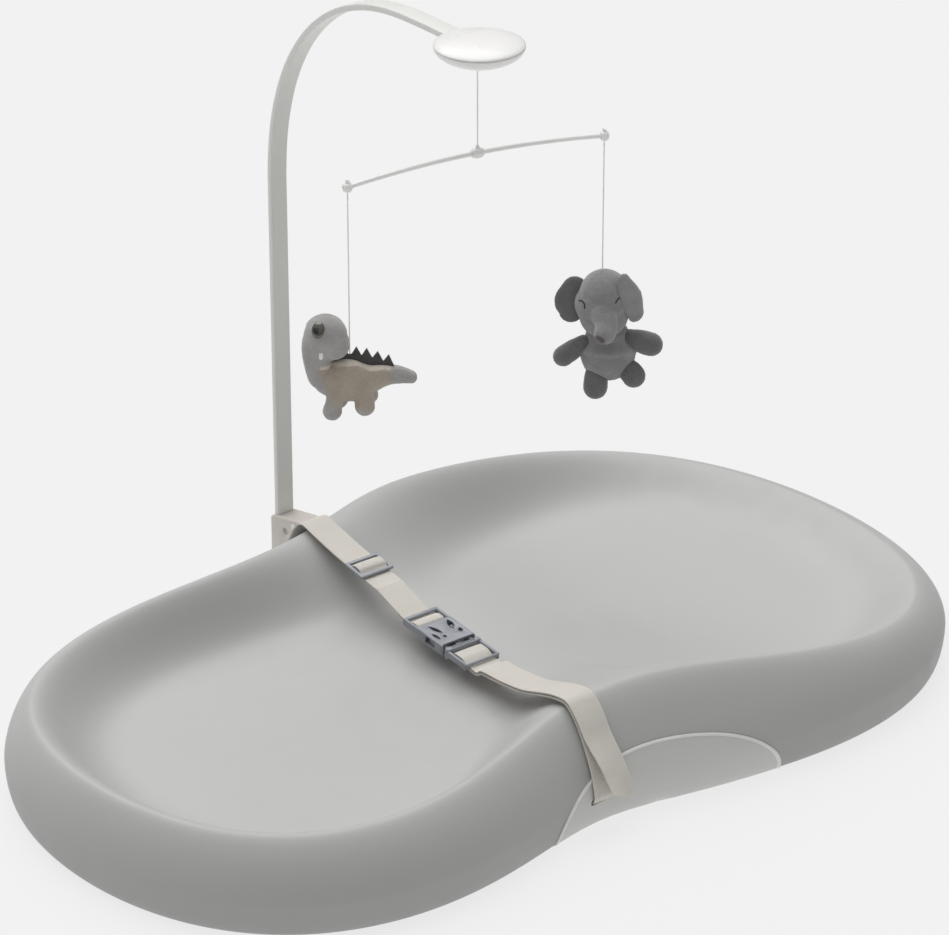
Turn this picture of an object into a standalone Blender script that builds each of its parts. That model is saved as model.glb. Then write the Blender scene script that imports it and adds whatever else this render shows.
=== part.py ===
"""Changing pad: a moulded foam tray with a safety strap and a plug-in mobile arch.

Metres, +Z up. The origin is on the floor under the mobile. X runs along the pad, +Y towards the arch.
"""

import math

import bmesh
import bpy
from mathutils import Matrix, Vector

# ---------------------------------------------------------------- driving dimensions
GAP = 0.0003  # between pieces that touch

# Pad outline: distance from the pad's centre to its outer wall, as a cosine series of the angle
PAD_CENTRE_X = 0.010
OUTLINE_MEAN = 0.3023
OUTLINE_EVEN = (0.0998, -0.0051, -0.0059)  # cos 2a, cos 4a, cos 6a
OUTLINE_HEAD = (0.0038, -0.0124, 0.0021)  # cos a, cos 3a, cos 5a: the head end is the wider one
# Rim height round the pad
RIM_MEAN = 0.0731
RIM_TILT = -0.0098  # cos a
RIM_WAIST = -0.0190  # cos 2a
RIM_SHOULDER = 0.0045  # cos 4a
RIM_HEAD = -0.0041  # cos 3a
RIM_REAR = (0.0017, -0.0014)  # sin a, sin 3a: the rear rim is a little higher
RIM_INSET_MEAN = 0.0275  # outer wall to the rim's crest
RIM_INSET_WAIST = -0.0054  # cos 2a
RIM_INSET_REAR = (-0.0026, 0.0012)  # sin a, sin 2a
WALL_POWER = 1.5  # fullness of the wall above the bulge
BULGE_HEIGHT = 0.0262  # where the outer wall is widest
FOOT_INSET = 0.0077  # the wall curls in under the bulge
FLOOR_LOBE = 0.030
FLOOR_WAIST = 0.060
WAIST_REACH = 0.115
INNER_WALL_END = 0.075  # width of the inner slope at the ends
INNER_WALL_WAIST = 0.125
PAD_SIDES = 72

# Half-moon strap plates let into both long walls
PLATE_CENTRE_X = 0.0075
PLATE_HALF_WIDTH = 0.1010
PLATE_HEIGHT = 0.0535
PLATE_PROUD = 0.0008
PLATE_THICKNESS = 0.003

# Strap line: a vertical plane, slightly skewed to the pad
STRAP_X = -0.0346
STRAP_SKEW = -math.atan(0.051)
WEBBING_WIDTH = 0.025
WEBBING_THICKNESS = 0.0014
SLOT_WIDTH = 0.028
SLOT_HEIGHT = 0.0046
FRONT_SLOT_Z = 0.0235
REAR_SLOT_Z = 0.0375
ANCHOR_RADIUS = 0.0022
ANCHOR_LENGTH = 0.031
ANCHOR_DEPTH = 0.0105  # behind the plate's outer face
POCKET_HALF_HEIGHT = 0.0060

# Buckle, along its own axis from the mouth
BUCKLE_Y = -0.0185
BUCKLE_Z = 0.0720
BUCKLE_TILT = math.radians(3.5)
BUCKLE_HALF_WIDTH = 0.0160
BUCKLE_HALF_THICKNESS = 0.0045
BUCKLE_TRAVEL = 0.036

# Tri-glide
GLIDE_Y = 0.0965
GLIDE_LENGTH = 0.0230
GLIDE_WIDTH = 0.0310
GLIDE_BAR = 0.0032

# Arch
ARCH_Y = 0.2405
ARCH_WIDTH = 0.0156
ARCH_THICKNESS = 0.0050
ARCH_FOOT_Z = 0.0310
ARCH_BEND_Y = 0.0750
ARCH_BEND_Z = 0.3550
ARCH_TOP_Z = 0.5427
ARCH_FULLNESS = 2.2
SOCKET_HALF_WIDTH = 0.0100
SOCKET_REAR_Y = 0.2458

# Housing over the mobile
HOUSING_RADIUS = 0.0334
HOUSING_Z = 0.5427
HOUSING_RISE = 0.0055
HOUSING_DROP = 0.0142
SHELL = 0.0018
SCREW_OFFSET = 0.0220

# Mobile
MOBILE_Y = 0.0020
BAR_ANGLE = math.radians(-13.2)
BAR_HALF_LENGTH = 0.1075
BAR_RISE = 0.0070
BAR_Z = 0.4587
BAR_RADIUS = 0.00175
STRING_RADIUS = 0.0006
TOY_TURN = math.radians(-40.3)
DINO_HANG_Z = 0.3295
ELEPHANT_HANG_Z = 0.3433

# ---------------------------------------------------------------- scene and materials
for old in list(bpy.data.objects):
    bpy.data.objects.remove(old, do_unlink=True)

PARTS = bpy.data.collections.new("changing_pad")
CUTTERS = bpy.data.collections.new("cutters")
bpy.context.scene.collection.children.link(PARTS)
bpy.context.scene.collection.children.link(CUTTERS)


def material(name, colour, roughness, metallic=0.0):
    made = bpy.data.materials.new(name)
    made.use_nodes = True
    shader = made.node_tree.nodes["Principled BSDF"]
    shader.inputs["Base Color"].default_value = (*colour, 1.0)
    shader.inputs["Roughness"].default_value = roughness
    shader.inputs["Metallic"].default_value = metallic
    made.diffuse_color = (*colour, 1.0)
    return made


FINISHES = {
    "foam": ((0.40, 0.40, 0.39), 0.55, 0.0),
    "plate": ((0.55, 0.54, 0.52), 0.5, 0.0),
    "webbing": ((0.62, 0.59, 0.53), 0.85, 0.0),
    "grey_plastic": ((0.26, 0.28, 0.30), 0.4, 0.0),
    "beige_plastic": ((0.52, 0.49, 0.46), 0.45, 0.0),
    "arch_grey": ((0.40, 0.40, 0.38), 0.45, 0.0),
    "white_plastic": ((0.85, 0.84, 0.82), 0.35, 0.0),
    "steel": ((0.55, 0.55, 0.55), 0.3, 1.0),
    "string": ((0.85, 0.85, 0.83), 0.8, 0.0),
    "dino_grey": ((0.28, 0.27, 0.26), 0.95, 0.0),
    "dino_beige": ((0.40, 0.35, 0.30), 0.95, 0.0),
    "felt": ((0.08, 0.08, 0.08), 0.95, 0.0),
    "eye": ((0.02, 0.02, 0.02), 0.15, 0.0),
    "elephant_grey": ((0.14, 0.14, 0.145), 0.95, 0.0),
}


def finish(obj, name):
    """Give the object its own copy of a finish and put it among the parts."""
    obj.data.materials.clear()
    obj.data.materials.append(material(f"{name}_{obj.name}", *FINISHES[name]))
    obj.data.shade_smooth()
    obj.data.set_sharp_from_angle(angle=math.radians(32))
    for home in list(obj.users_collection):
        home.objects.unlink(obj)
    PARTS.objects.link(obj)
    return obj


def as_cutter(obj):
    for home in list(obj.users_collection):
        home.objects.unlink(obj)
    CUTTERS.objects.link(obj)
    obj.hide_render = True
    obj.display_type = "WIRE"
    return obj


def boolean(obj, cutter, operation="DIFFERENCE"):
    step = obj.modifiers.new(operation.lower(), "BOOLEAN")
    step.operation = operation
    step.object = as_cutter(cutter)
    return obj


def from_bmesh(name, bm, matrix=None):
    bmesh.ops.recalc_face_normals(bm, faces=bm.faces)
    if bm.calc_volume(signed=True) < 0:
        bmesh.ops.reverse_faces(bm, faces=bm.faces)
    mesh = bpy.data.meshes.new(name)
    bm.to_mesh(mesh)
    bm.free()
    obj = bpy.data.objects.new(name, mesh)
    bpy.context.scene.collection.objects.link(obj)
    if matrix is not None:
        obj.matrix_world = matrix
    return obj


def box(name, low, high, matrix=None, bevel=0.0):
    low, high = Vector(low), Vector(high)
    bm = bmesh.new()
    bmesh.ops.create_cube(bm, size=1.0)
    bmesh.ops.scale(bm, vec=high - low, verts=bm.verts)
    bmesh.ops.translate(bm, vec=(low + high) / 2, verts=bm.verts)
    if bevel:
        bmesh.ops.bevel(bm, geom=bm.edges[:], offset=bevel, segments=2, affect="EDGES", profile=0.5)
    return from_bmesh(name, bm, matrix)


def rod(name, start, end, radius, sides=16, matrix=None):
    """A closed cylinder between two points."""
    start, end = Vector(start), Vector(end)
    along = end - start
    bm = bmesh.new()
    bmesh.ops.create_cone(
        bm, cap_ends=True, segments=sides, radius1=radius, radius2=radius, depth=along.length
    )
    place = Matrix.Translation((start + end) / 2) @ along.to_track_quat("Z", "Y").to_matrix().to_4x4()
    bmesh.ops.transform(bm, matrix=place, verts=bm.verts)
    return from_bmesh(name, bm, matrix)


def skin(name, rings, matrix=None):
    """A closed surface through rings of points; a first or last ring of one point closes the end."""
    bm = bmesh.new()
    rows = [[bm.verts.new(point) for point in ring] for ring in rings]
    for row, following in zip(rows, rows[1:]):
        count = max(len(row), len(following))
        for i in range(count):
            j = (i + 1) % count
            corners = [row[i % len(row)], row[j % len(row)]]
            corners += [following[j % len(following)], following[i % len(following)]]
            bm.faces.new(list(dict.fromkeys(corners)))
    for row in (rows[0], rows[-1]):
        if len(row) > 1:
            bm.faces.new(row)
    return from_bmesh(name, bm, matrix)


def mesh_of_curve(name, curve, matrix=None):
    """The evaluated mesh of a curve, with its caps welded on."""
    guide = bpy.data.objects.new(name, curve)
    bpy.context.scene.collection.objects.link(guide)
    bpy.context.view_layer.update()
    evaluated = guide.evaluated_get(bpy.context.evaluated_depsgraph_get())
    mesh = bpy.data.meshes.new_from_object(evaluated)
    bm = bmesh.new()
    bm.from_mesh(mesh)
    bmesh.ops.remove_doubles(bm, verts=bm.verts, dist=0.00001)
    bpy.data.objects.remove(guide)
    bpy.data.meshes.remove(mesh)
    return from_bmesh(name, bm, matrix)


def tube(name, points, radius, resolution=2, matrix=None):
    curve = bpy.data.curves.new(name, "CURVE")
    curve.dimensions = "3D"
    curve.bevel_depth = radius
    curve.bevel_resolution = resolution
    curve.use_fill_caps = True
    spline = curve.splines.new("POLY")
    spline.points.add(len(points) - 1)
    for place, point in zip(spline.points, points):
        place.co = (*point, 1.0)
    return mesh_of_curve(name, curve, matrix)


# Plane of a profile drawn in (y, z) and extruded along x
PROFILE_PLANE = Matrix(((0, 0, 1, 0), (1, 0, 0, 0), (0, 1, 0, 0), (0, 0, 0, 1)))


def extrusion(name, outline, half_width, matrix=None, centre_x=0.0):
    """A flat outline in (y, z), filled and extruded half_width each way along x."""
    curve = bpy.data.curves.new(name, "CURVE")
    curve.dimensions = "2D"
    curve.fill_mode = "BOTH"
    curve.extrude = half_width
    spline = curve.splines.new("POLY")
    spline.points.add(len(outline) - 1)
    spline.use_cyclic_u = True
    for place, (y, z) in zip(spline.points, outline):
        place.co = (y, z, 0.0, 1.0)
    base = matrix if matrix is not None else Matrix.Identity(4)
    return mesh_of_curve(name, curve, base @ Matrix.Translation((centre_x, 0, 0)) @ PROFILE_PLANE)


def smooth_path(route, longest, turn=math.radians(20)):
    """Points on a Catmull-Rom curve through the route: closer together where it bends."""
    points = [Vector((*p, 0.0)[:3]) for p in route]
    padded = [2 * points[0] - points[1], *points, 2 * points[-1] - points[-2]]
    dense = []
    steps = 24
    for a, b, c, d in zip(padded, padded[1:], padded[2:], padded[3:]):
        for i in range(steps):
            t = i / steps
            cubic = (3 * b - a - 3 * c + d) * t**3
            square = (2 * a - 5 * b + 4 * c - d) * t**2
            dense.append(0.5 * (2 * b + (c - a) * t + square + cubic))
    dense.append(points[-1])
    result = [dense[0]]
    length = bend = 0.0
    for a, b, c in zip(dense, dense[1:], dense[2:]):
        length += (b - a).length
        bend += (b - a).angle(c - b)
        if length > longest or (bend > turn and length > 0.0006):
            result.append(b)
            length = bend = 0.0
    result.append(dense[-1])
    return result


def ribbon_outline(path, thickness):
    """The two sides of a strip of the given thickness that follows a path in (y, z)."""
    upper, lower = [], []
    for i, point in enumerate(path):
        along = path[min(i + 1, len(path) - 1)] - path[max(i - 1, 0)]
        normal = Vector((-along.y, along.x)).normalized() * thickness / 2
        upper.append((point.x + normal.x, point.y + normal.y))
        lower.append((point.x - normal.x, point.y - normal.y))
    return upper + lower[::-1]


def arc(centre, radius, first, last, steps=8):
    """Points of a circular arc in (y, z), angles in degrees."""
    angles = [math.radians(first + (last - first) * i / steps) for i in range(steps + 1)]
    return [(centre[0] + radius * math.cos(a), centre[1] + radius * math.sin(a)) for a in angles]


# ---------------------------------------------------------------- pad
def outline_radius(a):
    even = sum(c * math.cos(2 * (i + 1) * a) for i, c in enumerate(OUTLINE_EVEN))
    head = sum(c * math.cos((2 * i + 1) * a) for i, c in enumerate(OUTLINE_HEAD))
    return OUTLINE_MEAN + even + head


def outline_point(a):
    r = outline_radius(a)
    return Vector((PAD_CENTRE_X + r * math.cos(a), r * math.sin(a)))


def outline_normal(a):
    along = outline_point(a + 0.001) - outline_point(a - 0.001)
    return Vector((along.y, -along.x)).normalized()


def rim_height(a):
    even = RIM_WAIST * math.cos(2 * a) + RIM_SHOULDER * math.cos(4 * a)
    head = RIM_TILT * math.cos(a) + RIM_HEAD * math.cos(3 * a)
    rear = RIM_REAR[0] * math.sin(a) + RIM_REAR[1] * math.sin(3 * a)
    return RIM_MEAN + even + head + rear


def rim_inset(a):
    rear = RIM_INSET_REAR[0] * math.sin(a) + RIM_INSET_REAR[1] * math.sin(2 * a)
    return RIM_INSET_MEAN + RIM_INSET_WAIST * math.cos(2 * a) + rear


def wall_inset(a, z):
    """How far the outer wall at height z stands in from the outline."""
    if z <= BULGE_HEIGHT:
        u = math.acos(1 - z / BULGE_HEIGHT)
        return FOOT_INSET * (1 - math.sin(u))
    share = min(1.0, (z - BULGE_HEIGHT) / (rim_height(a) - BULGE_HEIGHT))
    return rim_inset(a) * (1 - (1 - share**WALL_POWER) ** (1 / WALL_POWER))


def basin_floor(x):
    return FLOOR_LOBE + (FLOOR_WAIST - FLOOR_LOBE) * math.exp(-(((x - PAD_CENTRE_X) / WAIST_REACH) ** 2))


def wall_y(x, side, z):
    """Y of the outer wall at a given x, on the front (-1) or rear (+1) long side."""
    low, high = (0.25 * math.pi, 0.75 * math.pi)
    for _ in range(40):
        middle = (low + high) / 2
        if outline_point(middle).x > x:
            low = middle
        else:
            high = middle
    return side * (outline_point(low).y - wall_inset(side * low, z))


def pad_rings(grow=0.0, depth=0.0):
    """Rings of the pad from its underside to its basin; grow moves the wall out, depth lowers the base."""
    angles = [2 * math.pi * i / PAD_SIDES for i in range(PAD_SIDES)]

    def ring(inset_of, z_of):
        points = []
        for a in angles:
            flat = outline_point(a) - outline_normal(a) * (inset_of(a) - grow)
            points.append((flat.x, flat.y, z_of(a)))
        return points

    rings = [[(PAD_CENTRE_X, 0.0, -depth)]]
    base = ring(lambda a: FOOT_INSET, lambda a: -depth)
    rings.append([tuple(Vector(rings[0][0]).lerp(Vector(p), 0.6)) for p in base])
    rings.append(base)
    if depth:
        rings.append(ring(lambda a: FOOT_INSET, lambda a: 0.0))
    for z in (0.0013, 0.0050, 0.0130, BULGE_HEIGHT):
        rings.append(ring(lambda a, z=z: wall_inset(a, z), lambda a, z=z: z))
    for s in (0.3, 0.55, 0.75, 0.88, 0.95, 0.985):
        rings.append(
            ring(
                lambda a, s=s: wall_inset(a, BULGE_HEIGHT + s * (rim_height(a) - BULGE_HEIGHT)),
                lambda a, s=s: BULGE_HEIGHT + s * (rim_height(a) - BULGE_HEIGHT),
            )
        )
    crest = ring(rim_inset, rim_height)
    rings.append(crest)
    centre = Vector((PAD_CENTRE_X, 0.0, 0.0))
    for t in (0.06, 0.12, 0.2, 0.3, 0.42, 0.56, 0.72, 1.0):
        inner = []
        for a, top in zip(angles, crest):
            reach = Vector((top[0], top[1], 0.0)) - centre
            mean = (INNER_WALL_END + INNER_WALL_WAIST) / 2
            half = (INNER_WALL_END - INNER_WALL_WAIST) / 2
            width = mean + half * math.cos(2 * a)
            flat = centre + reach * (1 - t * width / reach.length)
            floor = basin_floor(flat.x)
            slope = (1 - t) ** 3.5 * (1 + 3.5 * t)
            inner.append((flat.x, flat.y, floor + (top[2] - floor) * slope))
        rings.append(inner)
    last = rings[-1]
    for share in (0.66, 0.33):
        ring_points = []
        for x, y, _ in last:
            flat_x = PAD_CENTRE_X + (x - PAD_CENTRE_X) * share
            ring_points.append((flat_x, y * share, basin_floor(flat_x)))
        rings.append(ring_points)
    rings.append([(PAD_CENTRE_X, 0.0, basin_floor(PAD_CENTRE_X))])
    return rings


STRAP_FRAME = Matrix.Translation((STRAP_X, 0, 0)) @ Matrix.Rotation(STRAP_SKEW, 4, "Z")


def plate_zone(name, side, margin):
    """The half-moon space that a strap plate takes, as a prism through one long wall."""
    count = 24
    outline = []
    for i in range(1, count):
        a = math.pi * i / count
        x = PLATE_CENTRE_X + (PLATE_HALF_WIDTH + margin) * math.cos(a)
        outline.append((x, (PLATE_HEIGHT + margin) * math.sin(a)))
    reach = PLATE_HALF_WIDTH + margin
    outline = [(PLATE_CENTRE_X + reach, -0.004), *outline, (PLATE_CENTRE_X - reach, -0.004)]
    near, far = sorted((side * 0.150, side * 0.270))
    rings = [[(x, y, z) for x, z in outline] for y in (near, far)]
    return skin(name, rings)


def slot_y(side, z):
    """Where the strap line meets the outer wall, along the strap frame's own Y."""
    x = STRAP_X - math.tan(STRAP_SKEW) * wall_y(STRAP_X, side, z)
    return wall_y(x, side, z) / math.cos(STRAP_SKEW)


def strap_plate(name, side, slot_z):
    plate = skin(name, pad_rings(grow=PLATE_PROUD))
    boolean(plate, plate_zone(f"{name}_zone", side, 0.0), "INTERSECT")
    boolean(plate, skin(f"{name}_core", pad_rings(grow=PLATE_PROUD - PLATE_THICKNESS, depth=0.006)))
    face = slot_y(side, slot_z)
    near, far = sorted((face - side * 0.014, face + side * 0.010))
    half_width, half_height = SLOT_WIDTH / 2, SLOT_HEIGHT / 2
    slot = box(
        f"{name}_slot",
        (-half_width, near, slot_z - half_height),
        (half_width, far, slot_z + half_height),
        STRAP_FRAME,
    )
    boolean(plate, slot)
    return finish(plate, "plate")


def pad_body():
    pad = skin("pad_body", pad_rings())
    for name, side, slot_z in (("front", -1, FRONT_SLOT_Z), ("rear", 1, REAR_SLOT_Z)):
        recess = plate_zone(f"{name}_recess", side, GAP)
        core = skin(f"{name}_recess_core", pad_rings(grow=PLATE_PROUD - PLATE_THICKNESS - GAP, depth=0.006))
        boolean(recess, core)
        boolean(pad, recess)
        face = slot_y(side, slot_z)
        near, far = sorted((face - side * 0.0175, face + side * 0.0010))
        pocket = box(
            f"{name}_pocket",
            (-ANCHOR_LENGTH / 2 - 0.0015, near, slot_z - POCKET_HALF_HEIGHT),
            (ANCHOR_LENGTH / 2 + 0.0015, far, slot_z + POCKET_HALF_HEIGHT),
            STRAP_FRAME,
        )
        boolean(pad, pocket)
    return finish(pad, "foam")


def anchor_rod(name, side, slot_z):
    y = slot_y(side, slot_z) - side * ANCHOR_DEPTH
    half = ANCHOR_LENGTH / 2
    made = rod(name, (-half, y, slot_z), (half, y, slot_z), ANCHOR_RADIUS, 16, STRAP_FRAME)
    return finish(made, "steel")


# ---------------------------------------------------------------- strap
def buckle_to_strap(y, z):
    """A point in the buckle's own (y, z) as a point in the strap's (y, z)."""
    c, s = math.cos(BUCKLE_TILT), math.sin(BUCKLE_TILT)
    return (BUCKLE_Y + y * c - z * s, BUCKLE_Z + y * s + z * c)


BUCKLE_FRAME = (
    STRAP_FRAME @ Matrix.Translation((0, BUCKLE_Y, BUCKLE_Z)) @ Matrix.Rotation(BUCKLE_TILT, 4, "X")
)
BAR_HALF = 0.0015  # half thickness of a cross bar
WRAP = BAR_HALF + GAP + WEBBING_THICKNESS / 2  # webbing centreline round a cross bar

# Tri-glide frame: tangent to the straight stretch of webbing that runs under it
GLIDE_SLOPE = math.atan2(0.0925 - 0.0850, 0.125 - 0.068)
GLIDE_Z = 0.0888
GLIDE_FRAME = (
    STRAP_FRAME @ Matrix.Translation((0, GLIDE_Y, GLIDE_Z)) @ Matrix.Rotation(GLIDE_SLOPE, 4, "X")
)


def anchor_loop(side, slot_z):
    """Webbing centreline from its sewn end, round the anchor rod and out of the slot."""
    centre = (slot_y(side, slot_z) - side * ANCHOR_DEPTH, slot_z)
    radius = ANCHOR_RADIUS + 2 * GAP + WEBBING_THICKNESS / 2
    if side < 0:
        turn = arc(centre, radius, -150, 90, 10)
    else:
        turn = arc(centre, radius, -30, -270, 10)
    return turn


def rear_webbing():
    face = slot_y(1, REAR_SLOT_Z)
    route = [(p[0], p[1]) for p in anchor_loop(1, REAR_SLOT_Z)]
    low = REAR_SLOT_Z
    route += [(face - 0.0046, low - 0.0001), (face + 0.0030, low - 0.0004), (face + 0.0040, low + 0.0028)]
    route += [(face + 0.0040, low + 0.0080), (0.1960, 0.0550)]
    route += [(0.1932, 0.0635), (0.1882, 0.0762), (0.1824, 0.0878), (0.1762, 0.0962), (0.1680, 0.1006)]
    route += [(0.150, 0.0972), (0.125, 0.0925), (0.0965, 0.08875), (0.068, 0.0850)]
    wrap_top = [(0.0535, -0.0004), (0.0480, -0.0004), (0.0440, 0.0014), (0.0412, WRAP), (0.0385, WRAP)]
    wrap_turn = arc((0.0375, 0.0), WRAP, 90, 270, 8)
    back = [(0.0400, -WRAP), (0.0450, -0.0026), (0.0550, -0.0024), (0.0620, -0.0021)]
    route += [buckle_to_strap(y, z) for y, z in wrap_top + wrap_turn + back]
    path = smooth_path(route, 0.0100)
    made = extrusion("rear_webbing", ribbon_outline(path, WEBBING_THICKNESS), WEBBING_WIDTH / 2, STRAP_FRAME)
    return finish(made, "webbing")


def front_webbing():
    face = slot_y(-1, FRONT_SLOT_Z)
    route = list(anchor_loop(-1, FRONT_SLOT_Z))
    low = FRONT_SLOT_Z
    route += [(face + 0.0032, low + 0.0002), (face - 0.0014, low - 0.0002), (face - 0.0033, low + 0.0022)]
    route += [(face - 0.0036, low + 0.0070), (-0.1947, 0.0449), (-0.1896, 0.0568), (-0.1832, 0.0687)]
    route += [(-0.1761, 0.0795), (-0.1692, 0.0868), (-0.1620, 0.0912), (-0.1500, 0.0900), (-0.1360, 0.0862)]
    route += [(-0.1200, 0.0805), (-0.1076, 0.0767), (-0.0850, 0.0730), (-0.0620, 0.0706)]
    under = [(-0.0380, -0.0024), (-0.0300, -0.0026), (-0.0200, -WRAP), (-0.0130, -WRAP)]
    turn = arc((-0.0120, 0.0), WRAP, -90, 90, 8)
    over = [(-0.0140, WRAP), (-0.0192, WRAP), (-0.0225, 0.0014), (-0.0265, -0.0004)]
    over += [(-0.0320, -0.0004), (-0.0380, -0.0002)]
    route += [buckle_to_strap(y, z) for y, z in under + turn + over]
    route += [(-0.0625, 0.0732), (-0.0850, 0.0753), (-0.1076, 0.0789), (-0.1206, 0.0828), (-0.1366, 0.0886)]
    route += [(-0.1502, 0.0926), (-0.1632, 0.0938), (-0.1712, 0.0886), (-0.1786, 0.0806), (-0.1858, 0.0700)]
    route += [(-0.1975, 0.0560), (-0.2050, 0.0432), (-0.2092, 0.0330)]
    path = smooth_path(route, 0.0100)
    made = extrusion("front_webbing", ribbon_outline(path, WEBBING_THICKNESS), WEBBING_WIDTH / 2, STRAP_FRAME)
    return finish(made, "webbing")


def tri_glide():
    half_l, half_w = GLIDE_LENGTH / 2, GLIDE_WIDTH / 2
    bottom = WEBBING_THICKNESS / 2 + GAP + 0.0001
    frame = box("tri_glide", (-half_w, -half_l, bottom), (half_w, half_l, bottom + 0.0026), None, 0.0006)
    inner = half_w - 0.0026
    window = half_l - GLIDE_BAR
    for i, (low, high) in enumerate(((-window, -0.0022), (0.0022, window))):
        boolean(frame, box(f"glide_window_{i}", (-inner, low, -0.01), (inner, high, 0.02), GLIDE_FRAME))
    frame.matrix_world = GLIDE_FRAME
    return finish(frame, "grey_plastic")


def glide_loop():
    """The webbing's sewn end, folded over the tri-glide's middle bar."""
    low = WEBBING_THICKNESS / 2 + GAP + WEBBING_THICKNESS / 2 + 0.0001
    high = WEBBING_THICKNESS / 2 + 0.0027 + GAP * 2 + WEBBING_THICKNESS / 2
    route = [(-0.0068, low), (-0.0052, low + 0.0010), (-0.0034, high - 0.0002), (0.0, high + 0.0002)]
    route += [(0.0034, high - 0.0002), (0.0052, low + 0.0010), (0.0068, low)]
    path = smooth_path(route, 0.0030)
    made = extrusion("glide_loop", ribbon_outline(path, WEBBING_THICKNESS), WEBBING_WIDTH / 2, GLIDE_FRAME)
    return finish(made, "webbing")


def buckle_female():
    w, t = BUCKLE_HALF_WIDTH, BUCKLE_HALF_THICKNESS
    body = box("buckle_female", (-w, 0.0, -t), (w, 0.033, t), None, 0.0009)
    rail = 0.0024
    for sign in (-1, 1):
        near, far = sorted((sign * (w - rail), sign * w))
        side = box(f"female_rail_{sign}", (near, 0.030, -0.0020), (far, 0.0500, 0.0039), BUCKLE_FRAME)
        boolean(body, side, "UNION")
    inner = box("female_bar", (-w + 0.001, 0.0376, -BAR_HALF), (w - 0.001, 0.0415, BAR_HALF), BUCKLE_FRAME)
    boolean(body, inner, "UNION")
    outer = box("female_outer_bar", (-w + 0.001, 0.0468, 0.0015), (w - 0.001, 0.0500, 0.0039), BUCKLE_FRAME)
    boolean(body, outer, "UNION")
    boolean(body, box("female_cavity", (-w + 0.0018, -0.002, -0.0028), (w - 0.0018, 0.028, 0.0028), BUCKLE_FRAME))
    boolean(body, box("female_windows", (-w - 0.002, 0.0095, -0.0030), (w + 0.002, 0.0215, 0.0030), BUCKLE_FRAME))
    for i, (x, y, turn) in enumerate(
        ((-0.0072, 0.020, 24), (0.0072, 0.020, -24), (-0.0060, 0.0095, -20), (0.0060, 0.0095, 20))
    ):
        place = BUCKLE_FRAME @ Matrix.Translation((x, y, 0)) @ Matrix.Rotation(math.radians(turn), 4, "Z")
        boolean(body, box(f"female_slot_{i}", (-0.0011, -0.0042, 0.002), (0.0011, 0.0042, 0.007), place))
    body.matrix_world = BUCKLE_FRAME
    return finish(body, "grey_plastic")


def buckle_male():
    w, t = BUCKLE_HALF_WIDTH, BUCKLE_HALF_THICKNESS
    body = box("buckle_male", (-w, -0.0078, -t), (w, -0.0016, t), None, 0.0009)
    rail = 0.0024
    for sign in (-1, 1):
        near, far = sorted((sign * (w - rail), sign * w))
        side = box(f"male_rail_{sign}", (near, -0.0325, -0.0020), (far, -0.0060, 0.0036), BUCKLE_FRAME)
        boolean(body, side, "UNION")
        # Prong: a flexing arm with a barbed tip that shows in the female's side window
        arm = [(0.0105, -0.004), (0.0128, -0.004), (0.0126, 0.011), (0.0139, 0.0115), (0.0139, 0.0185)]
        arm += [(0.0105, 0.0245), (0.0088, 0.0240), (0.0102, 0.012)]
        rings = [[(sign * x, y, z) for x, y in arm] for z in (-0.0022, 0.0022)]
        boolean(body, skin(f"male_prong_{sign}", rings, BUCKLE_FRAME), "UNION")
    boolean(body, box("male_tongue", (-0.0022, -0.004, -0.0020), (0.0022, 0.021, 0.0020), BUCKLE_FRAME), "UNION")
    boolean(body, box("male_bar", (-w + 0.001, -0.0180, -BAR_HALF), (w - 0.001, -0.0120, BAR_HALF), BUCKLE_FRAME), "UNION")
    outer = box("male_outer_bar", (-w + 0.001, -0.0325, 0.0015), (w - 0.001, -0.0293, 0.0039), BUCKLE_FRAME)
    boolean(body, outer, "UNION")
    body.matrix_world = BUCKLE_FRAME
    return finish(body, "grey_plastic")


# ---------------------------------------------------------------- arch and its socket
def arch_path():
    """Centreline of the flat strip in (y, z), from its foot to its end in the housing."""
    half_y, half_z = ARCH_Y - ARCH_BEND_Y, ARCH_TOP_Z - ARCH_BEND_Z
    points = [(ARCH_Y, ARCH_FOOT_Z), (ARCH_Y, 0.15), (ARCH_Y, 0.25)]
    steps = 22
    for i in range(steps + 1):
        a = math.pi / 2 * i / steps
        power = 2 / ARCH_FULLNESS
        y = ARCH_BEND_Y + half_y * math.cos(a) ** power if i < steps else ARCH_BEND_Y
        points.append((y, ARCH_BEND_Z + half_z * math.sin(a) ** power))
    points += [(0.055, 0.54255), (0.035, 0.54195), (0.0145, 0.5414)]
    return [Vector(p) for p in points]


def arch_strip():
    made = extrusion("arch_strip", ribbon_outline(arch_path(), ARCH_THICKNESS), ARCH_WIDTH / 2)
    boolean(made, rod("arch_screw_hole", (0, SCREW_OFFSET, 0.52), (0, SCREW_OFFSET, 0.56), 0.0017))
    return finish(made, "arch_grey")


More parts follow.
